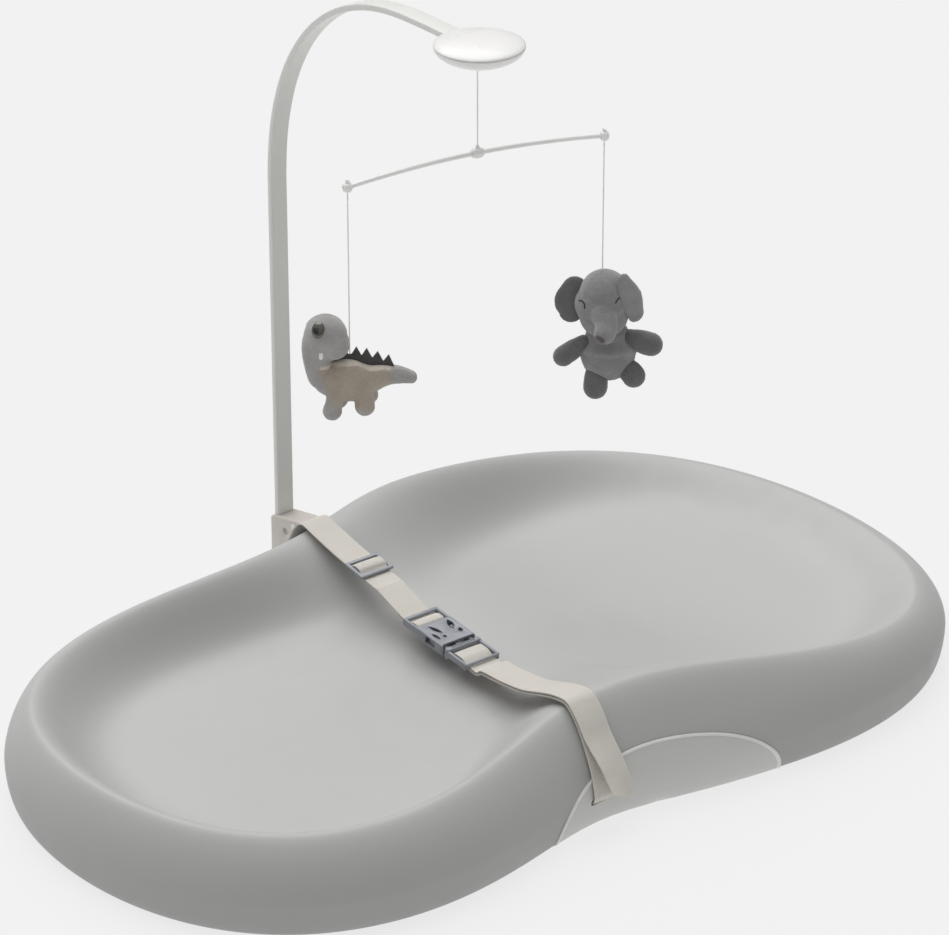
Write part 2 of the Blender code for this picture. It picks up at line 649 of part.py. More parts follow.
def pole_socket():
    outline = [(0.180, 0.0140), (0.180, 0.0775), (0.2125, 0.0762), (SOCKET_REAR_Y - 0.002, 0.0700)]
    outline += [(SOCKET_REAR_Y, 0.0678), (SOCKET_REAR_Y, 0.0300), (0.2380, 0.0200), (0.2200, 0.0140)]
    made = extrusion("pole_socket", outline, SOCKET_HALF_WIDTH)
    boolean(made, skin("socket_wall", pad_rings(grow=PLATE_PROUD + GAP, depth=0.01)))
    hole_y = ARCH_THICKNESS / 2 + GAP
    hole_x = ARCH_WIDTH / 2 + GAP
    low = (-hole_x, ARCH_Y - hole_y, ARCH_FOOT_Z - GAP)
    boolean(made, box("socket_hole", low, (hole_x, ARCH_Y + hole_y, 0.09)))
    x = SOCKET_HALF_WIDTH
    boolean(made, rod("button_bore", (-x - 0.002, 0.2158, 0.0702), (-x + 0.0052, 0.2158, 0.0702), 0.0031, 20))
    boolean(made, rod("socket_screw_bore", (-x - 0.002, 0.2269, 0.0617), (-x + 0.0102, 0.2269, 0.0617), 0.0024, 20))
    return finish(made, "beige_plastic")


def lock_button():
    x = SOCKET_HALF_WIDTH
    made = rod("lock_button", (-x - 0.0012, 0.2158, 0.0702), (-x + 0.0034, 0.2158, 0.0702), 0.0027, 20)
    return finish(made, "white_plastic")


def socket_screw():
    x = SOCKET_HALF_WIDTH
    made = rod("socket_screw", (-x + 0.0006, 0.2269, 0.0617), (-x + 0.0098, 0.2269, 0.0617), 0.0020, 16)
    drive = rod("socket_screw_drive", (-x - 0.001, 0.2269, 0.0617), (-x + 0.0022, 0.2269, 0.0617), 0.0010, 6)
    boolean(made, drive)
    return finish(made, "steel")


# ---------------------------------------------------------------- housing
def turned(name, profile, centre, sides=36):
    """A body of revolution about a vertical axis, from a profile that runs down the outer side."""
    mesh = bpy.data.meshes.new(name)
    edges = [(i, i + 1) for i in range(len(profile) - 1)]
    mesh.from_pydata([(r, 0.0, z) for r, z in profile], edges, [])
    obj = bpy.data.objects.new(name, mesh)
    bpy.context.scene.collection.objects.link(obj)
    obj.location = centre
    spin = obj.modifiers.new("turn", "SCREW")
    spin.steps = sides
    spin.render_steps = sides
    spin.use_merge_vertices = True
    spin.merge_threshold = 0.00001
    return obj


def dome(radius, height, first, last, steps):
    """Points of an elliptical dome's profile between two angles, in degrees from the rim."""
    angles = [math.radians(first + (last - first) * i / steps) for i in range(steps + 1)]
    return [(radius * math.cos(a), height * math.sin(a)) for a in angles]


def housing_top():
    outer = dome(HOUSING_RADIUS, HOUSING_RISE, 90, 0, 7)
    outer[0] = (0.0, HOUSING_RISE)
    inner = dome(HOUSING_RADIUS - SHELL, HOUSING_RISE - SHELL, 0, 90, 6)
    inner[-1] = (0.0, HOUSING_RISE - SHELL)
    shell = turned("housing_top", outer + inner, (0, 0, HOUSING_Z))
    for i, y in enumerate((SCREW_OFFSET, -SCREW_OFFSET)):
        foot = 0.0022 if y > 0 else 0.0004
        boss = rod(f"boss_{i}", (0, y, HOUSING_Z + foot), (0, y, HOUSING_Z + 0.0034), 0.0034)
        boolean(shell, boss, "UNION")
        boolean(shell, rod(f"boss_hole_{i}", (0, y, HOUSING_Z - 0.004), (0, y, HOUSING_Z + 0.0026), 0.0013))
    boolean(shell, housing_notch("top_notch"))
    return finish(shell, "white_plastic")


def housing_notch(name):
    """Room for the strip's end where it passes between the shells."""
    half = ARCH_WIDTH / 2 + GAP
    low = (-half, 0.0135, HOUSING_Z - 0.0042)
    high = (half, 0.0450, HOUSING_Z + 0.0021)
    return box(name, low, high)


def housing_bottom():
    outer = dome(HOUSING_RADIUS, -HOUSING_DROP, 0, 90, 7)
    outer[-1] = (0.0, -HOUSING_DROP)
    inner = dome(HOUSING_RADIUS - SHELL, -(HOUSING_DROP - SHELL), 90, 0, 6)
    inner[0] = (0.0, -(HOUSING_DROP - SHELL))
    shell = turned("housing_bottom", inner + outer, (0, 0, HOUSING_Z - GAP))
    for i, y in enumerate((SCREW_OFFSET, -SCREW_OFFSET)):
        top = -0.0044 if y > 0 else -0.0006
        post = rod(f"post_{i}", (0, y, HOUSING_Z - 0.0094), (0, y, HOUSING_Z + top), 0.0034)
        boolean(shell, post, "UNION")
        boolean(shell, rod(f"post_hole_{i}", (0, y, HOUSING_Z - 0.02), (0, y, HOUSING_Z + 0.002), 0.0014))
        boolean(shell, rod(f"post_seat_{i}", (0, y, HOUSING_Z - 0.02), (0, y, HOUSING_Z - 0.0084), 0.0026))
    hole = rod("swivel_hole", (0, MOBILE_Y, HOUSING_Z - 0.02), (0, MOBILE_Y, HOUSING_Z - 0.004), 0.0026)
    boolean(shell, hole)
    boolean(shell, housing_notch("bottom_notch"))
    return finish(shell, "white_plastic")


def housing_screw(index, y):
    head = (0.0000, -0.0100), (0.0022, -0.0100), (0.0022, -0.0087)
    shank = (0.0010, -0.0087), (0.0010, 0.0020), (0.0, 0.0020)
    profile = [*head, *shank][::-1]
    made = turned(f"housing_screw_{index}", profile, (0, y, HOUSING_Z), 16)
    return finish(made, "steel")


def swivel_eyelet():
    """The pin that the mobile hangs from and turns on: a head inside the housing, a ball below it."""
    top = -HOUSING_DROP + SHELL + GAP * 2 + 0.0014
    profile = [(0.0, top), (0.0042, top), (0.0042, top - 0.0014), (0.0020, top - 0.0014)]
    neck = -HOUSING_DROP - 0.0016
    ball = [(0.0028 * math.sin(a), neck - 0.0020 + 0.0028 * math.cos(a))
            for a in (math.radians(46 + 134 * i / 7) for i in range(8))]
    ball[-1] = (0.0, neck - 0.0048)
    made = turned("swivel_eyelet", profile + ball, (0, MOBILE_Y, HOUSING_Z), 18)
    return finish(made, "white_plastic")


SWIVEL_FOOT_Z = HOUSING_Z - HOUSING_DROP - 0.0064

# ---------------------------------------------------------------- mobile
BAR_FRAME = Matrix.Translation((0, MOBILE_Y, 0)) @ Matrix.Rotation(BAR_ANGLE, 4, "Z")
BEAD_RADIUS = 0.0040


def bar_height(x):
    return BAR_Z - BAR_RISE * (x / BAR_HALF_LENGTH) ** 2


def bar_points(reach):
    count = 26
    return [(x, 0.0, bar_height(x)) for x in (reach * (2 * i / count - 1) for i in range(count + 1))]


def mobile_bar():
    return finish(tube("mobile_bar", bar_points(BAR_HALF_LENGTH), BAR_RADIUS, 2, BAR_FRAME), "white_plastic")


def bead(name, x, stretch=1.0):
    """A bead threaded on the bar, with the string tied through it."""
    bm = bmesh.new()
    bmesh.ops.create_uvsphere(bm, u_segments=16, v_segments=10, radius=BEAD_RADIUS)
    bmesh.ops.scale(bm, vec=(stretch, 1.0, 1.0), verts=bm.verts)
    made = from_bmesh(name, bm, BAR_FRAME @ Matrix.Translation((x, 0, bar_height(x))))
    boolean(made, tube(f"{name}_bore", bar_points(BAR_HALF_LENGTH + 0.012), BAR_RADIUS + GAP, 2, BAR_FRAME))
    return finish(made, "white_plastic")


def hanging_string(name, x, top, bottom):
    """A string that hangs straight down, in the bar's frame."""
    count = max(12, round((top - bottom) / (STRING_RADIUS * 6)))
    points = [(x, 0.0, top + (bottom - top) * i / count) for i in range(count + 1)]
    return finish(tube(name, points, STRING_RADIUS, 2, BAR_FRAME), "string")


# ---------------------------------------------------------------- toys
def limb(name, stations, matrix, grow=0.0, sides=16, cap=3):
    """A stuffed form: round sections along a path. Each station is (x, y, z, radius, depth radius)."""
    centres = [Vector(s[:3]) for s in stations]
    rings = []
    first_dir = (centres[1] - centres[0]).normalized()
    last_dir = (centres[-1] - centres[-2]).normalized()
    depth_axis = Vector((0, 1, 0))

    def ring(centre, along, wide, deep):
        side = along.cross(depth_axis).normalized()
        deep_axis = side.cross(along).normalized()
        return [
            tuple(centre + side * wide * math.cos(t) + deep_axis * deep * math.sin(t))
            for t in (2 * math.pi * k / sides for k in range(sides))
        ]

    wide, deep = stations[0][3] + grow, stations[0][4] + grow
    rings.append([tuple(centres[0] - first_dir * wide)])
    for i in range(1, cap):
        a = math.pi / 2 * i / cap
        rings.append(ring(centres[0] - first_dir * wide * math.cos(a), first_dir,
                          wide * math.sin(a), deep * math.sin(a)))
    for i, station in enumerate(stations):
        along = centres[min(i + 1, len(centres) - 1)] - centres[max(i - 1, 0)]
        rings.append(ring(centres[i], along.normalized(), station[3] + grow, station[4] + grow))
    wide, deep = stations[-1][3] + grow, stations[-1][4] + grow
    for i in range(cap - 1, 0, -1):
        a = math.pi / 2 * i / cap
        rings.append(ring(centres[-1] + last_dir * wide * math.cos(a), last_dir,
                          wide * math.sin(a), deep * math.sin(a)))
    rings.append([tuple(centres[-1] + last_dir * wide)])
    return skin(name, rings, matrix)


def toy_frame(x, z):
    place = BAR_FRAME @ Vector((x, 0, z))
    return Matrix.Translation(place) @ Matrix.Rotation(TOY_TURN, 4, "Z")


DINO_FRAME = toy_frame(-BAR_HALF_LENGTH + 0.003, DINO_HANG_Z)
DINO_STRING_FOOT = -0.0095  # the string ends between two spikes
# Stations: x, y, z, radius across the path, radius in depth
DINO_BODY = [
    (-0.0140, 0.0, -0.0285, 0.0140, 0.0125),
    (-0.0040, 0.0, -0.0295, 0.0172, 0.0150),
    (0.0060, 0.0, -0.0295, 0.0155, 0.0140),
    (0.0150, 0.0, -0.0285, 0.0115, 0.0110),
    (0.0250, 0.0, -0.0260, 0.0085, 0.0082),
    (0.0350, 0.0, -0.0262, 0.0066, 0.0064),
    (0.0420, 0.0, -0.0278, 0.0050, 0.0050),
]
DINO_HEAD = [
    (-0.0215, 0.0, -0.0260, 0.0112, 0.0110),
    (-0.0250, 0.0, -0.0140, 0.0100, 0.0100),
    (-0.0245, 0.0, -0.0030, 0.0118, 0.0118),
    (-0.0195, 0.0, 0.0065, 0.0158, 0.0148),
]
DINO_LEGS = {
    "front_near": ((-0.0100, -0.0075, -0.0390), (-0.0120, -0.0085, -0.0535), 0.0068),
    "front_far": ((-0.0085, 0.0075, -0.0390), (-0.0085, 0.0085, -0.0520), 0.0068),
    "rear_near": ((0.0100, -0.0070, -0.0370), (0.0105, -0.0080, -0.0498), 0.0072),
    "rear_far": ((0.0115, 0.0070, -0.0370), (0.0135, 0.0080, -0.0485), 0.0070),
}


def dinosaur():
    body = limb("dino_body", DINO_BODY, DINO_FRAME)
    for name, (hip, foot, radius) in DINO_LEGS.items():
        stations = [(*hip, radius, radius), (*foot, radius, radius)]
        leg = limb(f"dino_leg_{name}", stations, DINO_FRAME, sides=12)
        boolean(body, leg, "UNION")
    finish(body, "dino_beige")
    head = limb("dino_head", DINO_HEAD, DINO_FRAME)
    boolean(head, limb("dino_body_room", DINO_BODY, DINO_FRAME, GAP + 0.0001))
    finish(head, "dino_grey")
    notch = DINO_STRING_FOOT
    spikes = [(-0.0080, -0.0200), (-0.0046, -0.0080), (-0.0028, -0.0058), (-0.0010, notch), (0.0010, notch)]
    spikes += [(0.0036, -0.0036), (0.0075, -0.0102), (0.0112, -0.0038), (0.0152, -0.0125), (0.0192, -0.0073)]
    spikes += [(0.0232, -0.0150), (0.0272, -0.0092), (0.0310, -0.0185), (0.0300, -0.0240), (0.0100, -0.0240)]
    rings = [[(x, y, z) for x, z in spikes] for y in (-0.0009, 0.0009)]
    crest = skin("dino_spikes", rings, DINO_FRAME)
    boolean(crest, limb("dino_spike_room", DINO_BODY, DINO_FRAME, GAP + 0.0001))
    boolean(crest, limb("dino_head_room", DINO_HEAD, DINO_FRAME, GAP + 0.0001))
    finish(crest, "felt")
    for side in (-1, 1):
        name = "dino_eye_near" if side < 0 else "dino_eye_far"
        place = DINO_FRAME @ Matrix.Translation((-0.0245, side * 0.0125, 0.0105))
        bm = bmesh.new()
        bmesh.ops.create_uvsphere(bm, u_segments=16, v_segments=10, radius=1.0)
        bmesh.ops.scale(bm, vec=(0.0048, 0.0032, 0.0064), verts=bm.verts)
        eye = from_bmesh(name, bm, place)
        boolean(eye, limb(f"{name}_room", DINO_HEAD, DINO_FRAME, GAP + 0.0001))
        finish(eye, "eye")


ELEPHANT_FRAME = toy_frame(BAR_HALF_LENGTH - 0.003, ELEPHANT_HANG_Z)
ELEPHANT_CROWN = 0.0  # top of the head, relative to the hanging point
ELEPHANT_HEAD = [
    (-0.0010, 0.0, -0.0190, 0.0190, 0.0185),
    (-0.0025, 0.0, -0.0265, 0.0212, 0.0200),
    (-0.0022, -0.001, -0.0345, 0.0182, 0.0175),
]
ELEPHANT_TRUNK = [
    (-0.0020, -0.0165, -0.0300, 0.0085, 0.0085),
    (-0.0015, -0.0240, -0.0360, 0.0072, 0.0072),
    (-0.0035, -0.0280, -0.0425, 0.0063, 0.0063),
]
ELEPHANT_BODY = [
    (0.0022, 0.002, -0.0590, 0.0160, 0.0150),
    (0.0032, 0.001, -0.0665, 0.0210, 0.0190),
    (0.0032, 0.000, -0.0720, 0.0198, 0.0180),
]
ELEPHANT_LIMBS = {
    "elephant_arm_left": ((-0.0160, -0.002, -0.0600), (-0.0300, -0.0060, -0.0700), 0.0078, 0.0092),
    "elephant_arm_right": ((0.0190, -0.002, -0.0555), (0.0335, -0.0040, -0.0600), 0.0082, 0.0097),
    "elephant_leg_left": ((-0.0070, -0.0050, -0.0800), (-0.0078, -0.0120, -0.0910), 0.0088, 0.0090),
    "elephant_leg_right": ((0.0150, -0.0050, -0.0770), (0.0205, -0.0110, -0.0825), 0.0082, 0.0086),
}
ELEPHANT_EARS = {
    "elephant_ear_left": [
        (-0.0240, 0.0040, -0.0165, 0.0095, 0.0032),
        (-0.0275, 0.0040, -0.0265, 0.0118, 0.0036),
        (-0.0262, 0.0040, -0.0350, 0.0092, 0.0032),
    ],
    "elephant_ear_right": [
        (0.0150, 0.0010, -0.0090, 0.0052, 0.0030),
        (0.0215, -0.002, -0.0200, 0.0070, 0.0034),
        (0.0250, -0.004, -0.0320, 0.0056, 0.0030),
    ],
}


def elephant():
    margin = GAP + 0.0001
    head = limb("elephant_head", ELEPHANT_HEAD, ELEPHANT_FRAME, sides=18, cap=3)
    boolean(head, limb("elephant_trunk", ELEPHANT_TRUNK, ELEPHANT_FRAME, sides=12), "UNION")
    finish(head, "elephant_grey")
    body = limb("elephant_body", ELEPHANT_BODY, ELEPHANT_FRAME, sides=18, cap=3)
    boolean(body, limb("elephant_head_room", ELEPHANT_HEAD, ELEPHANT_FRAME, margin, 18, 3))
    boolean(body, limb("elephant_trunk_room", ELEPHANT_TRUNK, ELEPHANT_FRAME, margin, 12))
    finish(body, "elephant_grey")
    for name, (root, tip, thin, thick) in ELEPHANT_LIMBS.items():
        made = limb(name, [(*root, thin, thin), (*tip, thick, thick)], ELEPHANT_FRAME, sides=14)
        boolean(made, limb(f"{name}_room", ELEPHANT_BODY, ELEPHANT_FRAME, margin, 18, 3))
        boolean(made, limb(f"{name}_head_room", ELEPHANT_HEAD, ELEPHANT_FRAME, margin, 18, 3))
        finish(made, "elephant_grey")
    for name, stations in ELEPHANT_EARS.items():
        made = limb(name, stations, ELEPHANT_FRAME, sides=16)
        boolean(made, limb(f"{name}_room", ELEPHANT_HEAD, ELEPHANT_FRAME, margin, 18, 3))
        finish(made, "elephant_grey")


# ---------------------------------------------------------------- build
pad_body()
strap_plate("front_plate", -1, FRONT_SLOT_Z)
strap_plate("rear_plate", 1, REAR_SLOT_Z)
anchor_rod("front_anchor_rod", -1, FRONT_SLOT_Z)
anchor_rod("rear_anchor_rod", 1, REAR_SLOT_Z)
rear_webbing()
front_webbing()
tri_glide()
glide_loop()
buckle_female()
buckle_male()
arch_strip()
pole_socket()
lock_button()
socket_screw()
housing_top()
housing_bottom()
housing_screw(1, SCREW_OFFSET)
housing_screw(2, -SCREW_OFFSET)
swivel_eyelet()
mobile_bar()
bead("centre_bead", 0.0, 1.5)
bead("dino_bead", -BAR_HALF_LENGTH + 0.003)
bead("elephant_bead", BAR_HALF_LENGTH - 0.003)
hanging_string("centre_string", 0.0, SWIVEL_FOOT_Z - GAP, BAR_Z + BEAD_RADIUS + GAP)
END_X = BAR_HALF_LENGTH - 0.003
END_Z = bar_height(END_X) - BEAD_RADIUS - GAP
hanging_string("dino_string", -END_X, END_Z, DINO_HANG_Z + DINO_STRING_FOOT + GAP)
hanging_string("elephant_string", END_X, END_Z, ELEPHANT_HANG_Z + ELEPHANT_CROWN + GAP)
dinosaur()
elephant()
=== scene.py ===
"""Looks for the changing pad: foam tray, webbing strap, arch and mobile, in the frame of the CAD model.

Metres, +Z up. The origin is on the floor under the mobile; +Y points to the side that carries the arch.
"""

import math

import bmesh
import bpy
import numpy as np
from mathutils import Matrix, Vector, noise
from mathutils.bvhtree import BVHTree


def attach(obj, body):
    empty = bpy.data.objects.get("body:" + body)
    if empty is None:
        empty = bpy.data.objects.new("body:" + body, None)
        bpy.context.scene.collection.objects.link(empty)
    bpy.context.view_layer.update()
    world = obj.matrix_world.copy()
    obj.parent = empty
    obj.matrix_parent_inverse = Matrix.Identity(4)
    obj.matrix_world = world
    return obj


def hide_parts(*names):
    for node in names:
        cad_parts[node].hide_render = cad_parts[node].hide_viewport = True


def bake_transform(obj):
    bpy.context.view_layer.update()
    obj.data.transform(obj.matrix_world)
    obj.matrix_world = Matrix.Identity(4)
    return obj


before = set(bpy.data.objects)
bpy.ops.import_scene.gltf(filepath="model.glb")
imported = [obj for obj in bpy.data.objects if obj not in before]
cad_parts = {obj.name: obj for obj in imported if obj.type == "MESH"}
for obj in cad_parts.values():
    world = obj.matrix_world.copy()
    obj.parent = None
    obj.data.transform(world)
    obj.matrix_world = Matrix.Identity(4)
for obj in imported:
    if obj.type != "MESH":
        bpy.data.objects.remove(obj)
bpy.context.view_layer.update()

# ---------------------------------------------------------------- camera
CAMERA_AT = (-1.9450, -2.2908, 1.7356)
CAMERA_TURN = math.radians(-40.266)
CAMERA_DOWN = math.radians(27.009)

camera_data = bpy.data.cameras.new("camera")
camera_data.lens = 170.82
camera_data.sensor_width = 36.0
camera_data.clip_start = 0.05
camera_data.clip_end = 60.0
camera = bpy.data.objects.new("camera", camera_data)
camera.location = CAMERA_AT
camera.rotation_euler = (math.pi / 2 - CAMERA_DOWN, 0.0, CAMERA_TURN)
bpy.context.scene.collection.objects.link(camera)
bpy.context.scene.camera = camera
bpy.context.scene.view_settings.view_transform = "Standard"

# ---------------------------------------------------------------- sizes, as in the CAD
# Pad: distance from its centre to the outer wall, and rim height, as cosine series of the angle
PAD_CENTRE_X = 0.010
OUTLINE_MEAN = 0.3023
OUTLINE_EVEN = (0.0998, -0.0051, -0.0059)
OUTLINE_HEAD = (0.0038, -0.0124, 0.0021)
RIM_MEAN = 0.0731
RIM_TILT = -0.0098
RIM_WAIST = -0.0190
RIM_SHOULDER = 0.0045
RIM_HEAD = -0.0041
RIM_REAR = (0.0017, -0.0014)
RIM_INSET_MEAN = 0.0275
RIM_INSET_WAIST = -0.0054
RIM_INSET_REAR = (-0.0026, 0.0012)
WALL_POWER = 1.5
BULGE_HEIGHT = 0.0262
FOOT_INSET = 0.0077
FLOOR_LOBE = 0.030
FLOOR_WAIST = 0.060
WAIST_REACH = 0.115
INNER_WALL_END = 0.075
INNER_WALL_WAIST = 0.125

# Half-moon strap plates
PLATE_CENTRE_X = 0.0075
PLATE_HALF_WIDTH = 0.1010
PLATE_HEIGHT = 0.0535
PLATE_PROUD = 0.0008
PLATE_BACK = -0.0020
FRONT_SLOT_Z = 0.0235
REAR_SLOT_Z = 0.0375
SLOT_SIZE = (0.028, 0.0046)

# Strap line and webbing
STRAP_X = -0.0346
STRAP_SKEW = -math.atan(0.051)
WEBBING_WIDTH = 0.025
WEBBING_THICKNESS = 0.0014
ANCHOR_RADIUS = 0.0022
ANCHOR_DEPTH = 0.0105
BUCKLE_Y = -0.0185
BUCKLE_Z = 0.0720
BUCKLE_TILT = math.radians(3.5)
BUCKLE_HALF_WIDTH = 0.0160
BUCKLE_HALF_THICKNESS = 0.0045
BAR_HALF = 0.0015
WRAP = BAR_HALF + 0.0003 + WEBBING_THICKNESS / 2
GLIDE_Y = 0.0965
GLIDE_Z = 0.0888
GLIDE_SLOPE = math.atan2(0.0925 - 0.0850, 0.125 - 0.068)
GLIDE_LENGTH = 0.0230
GLIDE_WIDTH = 0.0310

# Arch, socket and housing
ARCH_Y = 0.2405
ARCH_WIDTH = 0.0156
ARCH_THICKNESS = 0.0050
ARCH_FOOT_Z = 0.0310
ARCH_BEND_Y = 0.0750
ARCH_BEND_Z = 0.3550
ARCH_TOP_Z = 0.5427
ARCH_FULLNESS = 2.2
SOCKET_HALF_WIDTH = 0.0100
SOCKET_REAR_Y = 0.2458
BUTTON_AT = (0.2158, 0.0702)
SOCKET_SCREW_AT = (0.2269, 0.0617)
HOUSING_RADIUS = 0.0334
HOUSING_Z = 0.5427
HOUSING_RISE = 0.0055
HOUSING_DROP = 0.0142
HOUSING_SHELL = 0.0018
BOSS_Y = 0.022

# Mobile
MOBILE_Y = 0.0020
BAR_ANGLE = math.radians(-13.2)
BAR_HALF_LENGTH = 0.1075
BAR_RISE = 0.0070
BAR_Z = 0.4587
BAR_RADIUS = 0.00175
BEAD_RADIUS = 0.0040
STRING_DIAMETER = 0.0012
HANG_X = BAR_HALF_LENGTH - 0.003
TOY_TURN = math.radians(-40.3)
DINO_HANG_Z = 0.3295
DINO_STRING_FOOT = -0.0095
ELEPHANT_HANG_Z = 0.3433
SWIVEL_FOOT_Z = HOUSING_Z - HOUSING_DROP - 0.0064

STRAP_FRAME = Matrix.Translation((STRAP_X, 0, 0)) @ Matrix.Rotation(STRAP_SKEW, 4, "Z")
BUCKLE_FRAME = (
    STRAP_FRAME @ Matrix.Translation((0, BUCKLE_Y, BUCKLE_Z)) @ Matrix.Rotation(BUCKLE_TILT, 4, "X")
)
GLIDE_FRAME = (
    STRAP_FRAME @ Matrix.Translation((0, GLIDE_Y, GLIDE_Z)) @ Matrix.Rotation(GLIDE_SLOPE, 4, "X")
)
BAR_FRAME = Matrix.Translation((0, MOBILE_Y, 0)) @ Matrix.Rotation(BAR_ANGLE, 4, "Z")


def toy_frame(x, z):
    place = BAR_FRAME @ Vector((x, 0, z))
    return Matrix.Translation(place) @ Matrix.Rotation(TOY_TURN, 4, "Z")


DINO_FRAME = toy_frame(-HANG_X, DINO_HANG_Z)
ELEPHANT_FRAME = toy_frame(HANG_X, ELEPHANT_HANG_Z)

# ---------------------------------------------------------------- materials


class Nodes:
    """Short ways to wire one material's shader nodes."""

    def __init__(self, material):
        self.tree = material.node_tree
        self.shader = self.tree.nodes["Principled BSDF"]

    def add(self, kind, **settings):
        node = self.tree.nodes.new(kind)
        for key, value in settings.items():
            if key in node.inputs.keys():
                node.inputs[key].default_value = value
            else:
                setattr(node, key, value)
        return node

    def link(self, source, target):
        self.tree.links.new(source, target)

    def place(self):
        """Positions in the row frame, before any piece moves."""
        return self.add("ShaderNodeTexCoord").outputs["Object"]

    def noise(self, place, size, detail=2.0, roughness=0.5):
        node = self.add("ShaderNodeTexNoise", Scale=1.0 / size, Detail=detail, Roughness=roughness)
        self.link(place, node.inputs["Vector"])
        return node.outputs["Fac"]

    def math(self, operation, first, second=0.0):
        node = self.add("ShaderNodeMath", operation=operation)
        for socket, value in zip(node.inputs, (first, second)):
            if isinstance(value, (int, float)):
                socket.default_value = value
            else:
                self.link(value, socket)
        return node.outputs[0]

    def mix(self, share, first, second):
        """A colour between two: each is a colour or a socket."""
        node = self.add("ShaderNodeMix", data_type="RGBA")
        for socket, value in zip((node.inputs[0], node.inputs[6], node.inputs[7]), (share, first, second)):
            if isinstance(value, tuple):
                socket.default_value = (*value, 1.0)
            elif isinstance(value, (int, float)):
                socket.default_value = value
            else:
                self.link(value, socket)
        return node.outputs[2]

    def range(self, value, low, high, to_low, to_high):
        node = self.add("ShaderNodeMapRange")
        node.clamp = True
        self.link(value, node.inputs["Value"])
        for key, number in zip(("From Min", "From Max", "To Min", "To Max"), (low, high, to_low, to_high)):
            node.inputs[key].default_value = number
        return node.outputs["Result"]

    def bump(self, height, distance, strength=1.0, before=None):
        node = self.add("ShaderNodeBump", Distance=distance, Strength=strength)
        self.link(height, node.inputs["Height"])
        if before is not None:
            self.link(before, node.inputs["Normal"])
        return node.outputs["Normal"]


def shade(colour, factor):
    return tuple(min(1.0, c * factor) for c in colour)


def blank_material(name):
    made = bpy.data.materials.new(name)
    made.use_nodes = True
    return made, Nodes(made)


def plastic(name, colour, roughness, tint=0.03, grain=0.0006, depth=0.00002, coat=0.0, metallic=0.0,
            foot=False):
    """Moulded plastic or foam skin: a fine grain, slow drifts of tone and gloss, and if asked a foot painted
    darker, which is painted shade near the floor.
    """
    made, n = blank_material(name)
    place = n.place()
    drift = n.noise(place, 0.09, 3.0, 0.6)
    fine = n.noise(place, grain, 3.0, 0.65)
    tone = n.mix(drift, shade(colour, 1 - tint), shade(colour, 1 + tint))
    speck = n.range(fine, 0.35, 0.70, 0.0, 0.18)
    base = n.mix(speck, tone, shade(colour, 0.90))
    # Painted shade: the foot attribute darkens the colour to 0.78 towards the floor, standing in for the
    # shade there.
    if foot:
        wear_tone_and_foot_shade = n.add("ShaderNodeAttribute", attribute_name="foot").outputs["Fac"]
        base = n.mix(wear_tone_and_foot_shade, base, shade(colour, 0.78))
    n.link(base, n.shader.inputs["Base Color"])
    n.link(n.range(n.noise(place, 0.022, 2.0), 0.3, 0.7, roughness - 0.05, roughness + 0.06),
           n.shader.inputs["Roughness"])
    n.link(n.bump(fine, depth), n.shader.inputs["Normal"])
    n.shader.inputs["Metallic"].default_value = metallic
    n.shader.inputs["Coat Weight"].default_value = coat
    return made


def webbing(name, light, dark):
    """Woven strap. The UV map holds metres across and along it."""
    made, n = blank_material(name)
    uv = n.add("ShaderNodeUVMap", uv_map="strap").outputs["UV"]
    axes = n.add("ShaderNodeSeparateXYZ")
    n.link(uv, axes.inputs[0])
    across = n.math("MULTIPLY", axes.outputs[0], math.pi / 0.00105)
    cord = n.math("ABSOLUTE", n.math("SINE", across))
    row = n.math("FLOOR", n.math("MULTIPLY", axes.outputs[0], 1 / 0.00105))
    stagger = n.math("MULTIPLY", row, math.pi * 0.5)
    along = n.math("ADD", n.math("MULTIPLY", axes.outputs[1], 2 * math.pi / 0.0017), stagger)
    stitch = n.math("MULTIPLY", n.math("ADD", n.math("SINE", along), 1.0), 0.5)
    height = n.math("MULTIPLY", cord, n.math("ADD", n.math("MULTIPLY", stitch, 0.45), 0.55))
    fuzz = n.noise(n.place(), 0.0005, 2.0)
    drift = n.noise(n.place(), 0.030, 3.0)
    wear_tone_and_foot_shade = n.mix(n.range(drift, 0.3, 0.7, 0.0, 1.0), shade(light, 0.95), shade(light, 1.03))
    weave = n.mix(n.range(height, 0.0, 0.75, 0.0, 1.0), dark, wear_tone_and_foot_shade)
    n.link(weave, n.shader.inputs["Base Color"])
    total = n.math("ADD", height, n.math("MULTIPLY", fuzz, 0.25))
    n.link(n.bump(total, 0.00022), n.shader.inputs["Normal"])
    n.shader.inputs["Roughness"].default_value = 0.85
    n.shader.inputs["Sheen Weight"].default_value = 0.25
    n.shader.inputs["Sheen Roughness"].default_value = 0.5
    return made


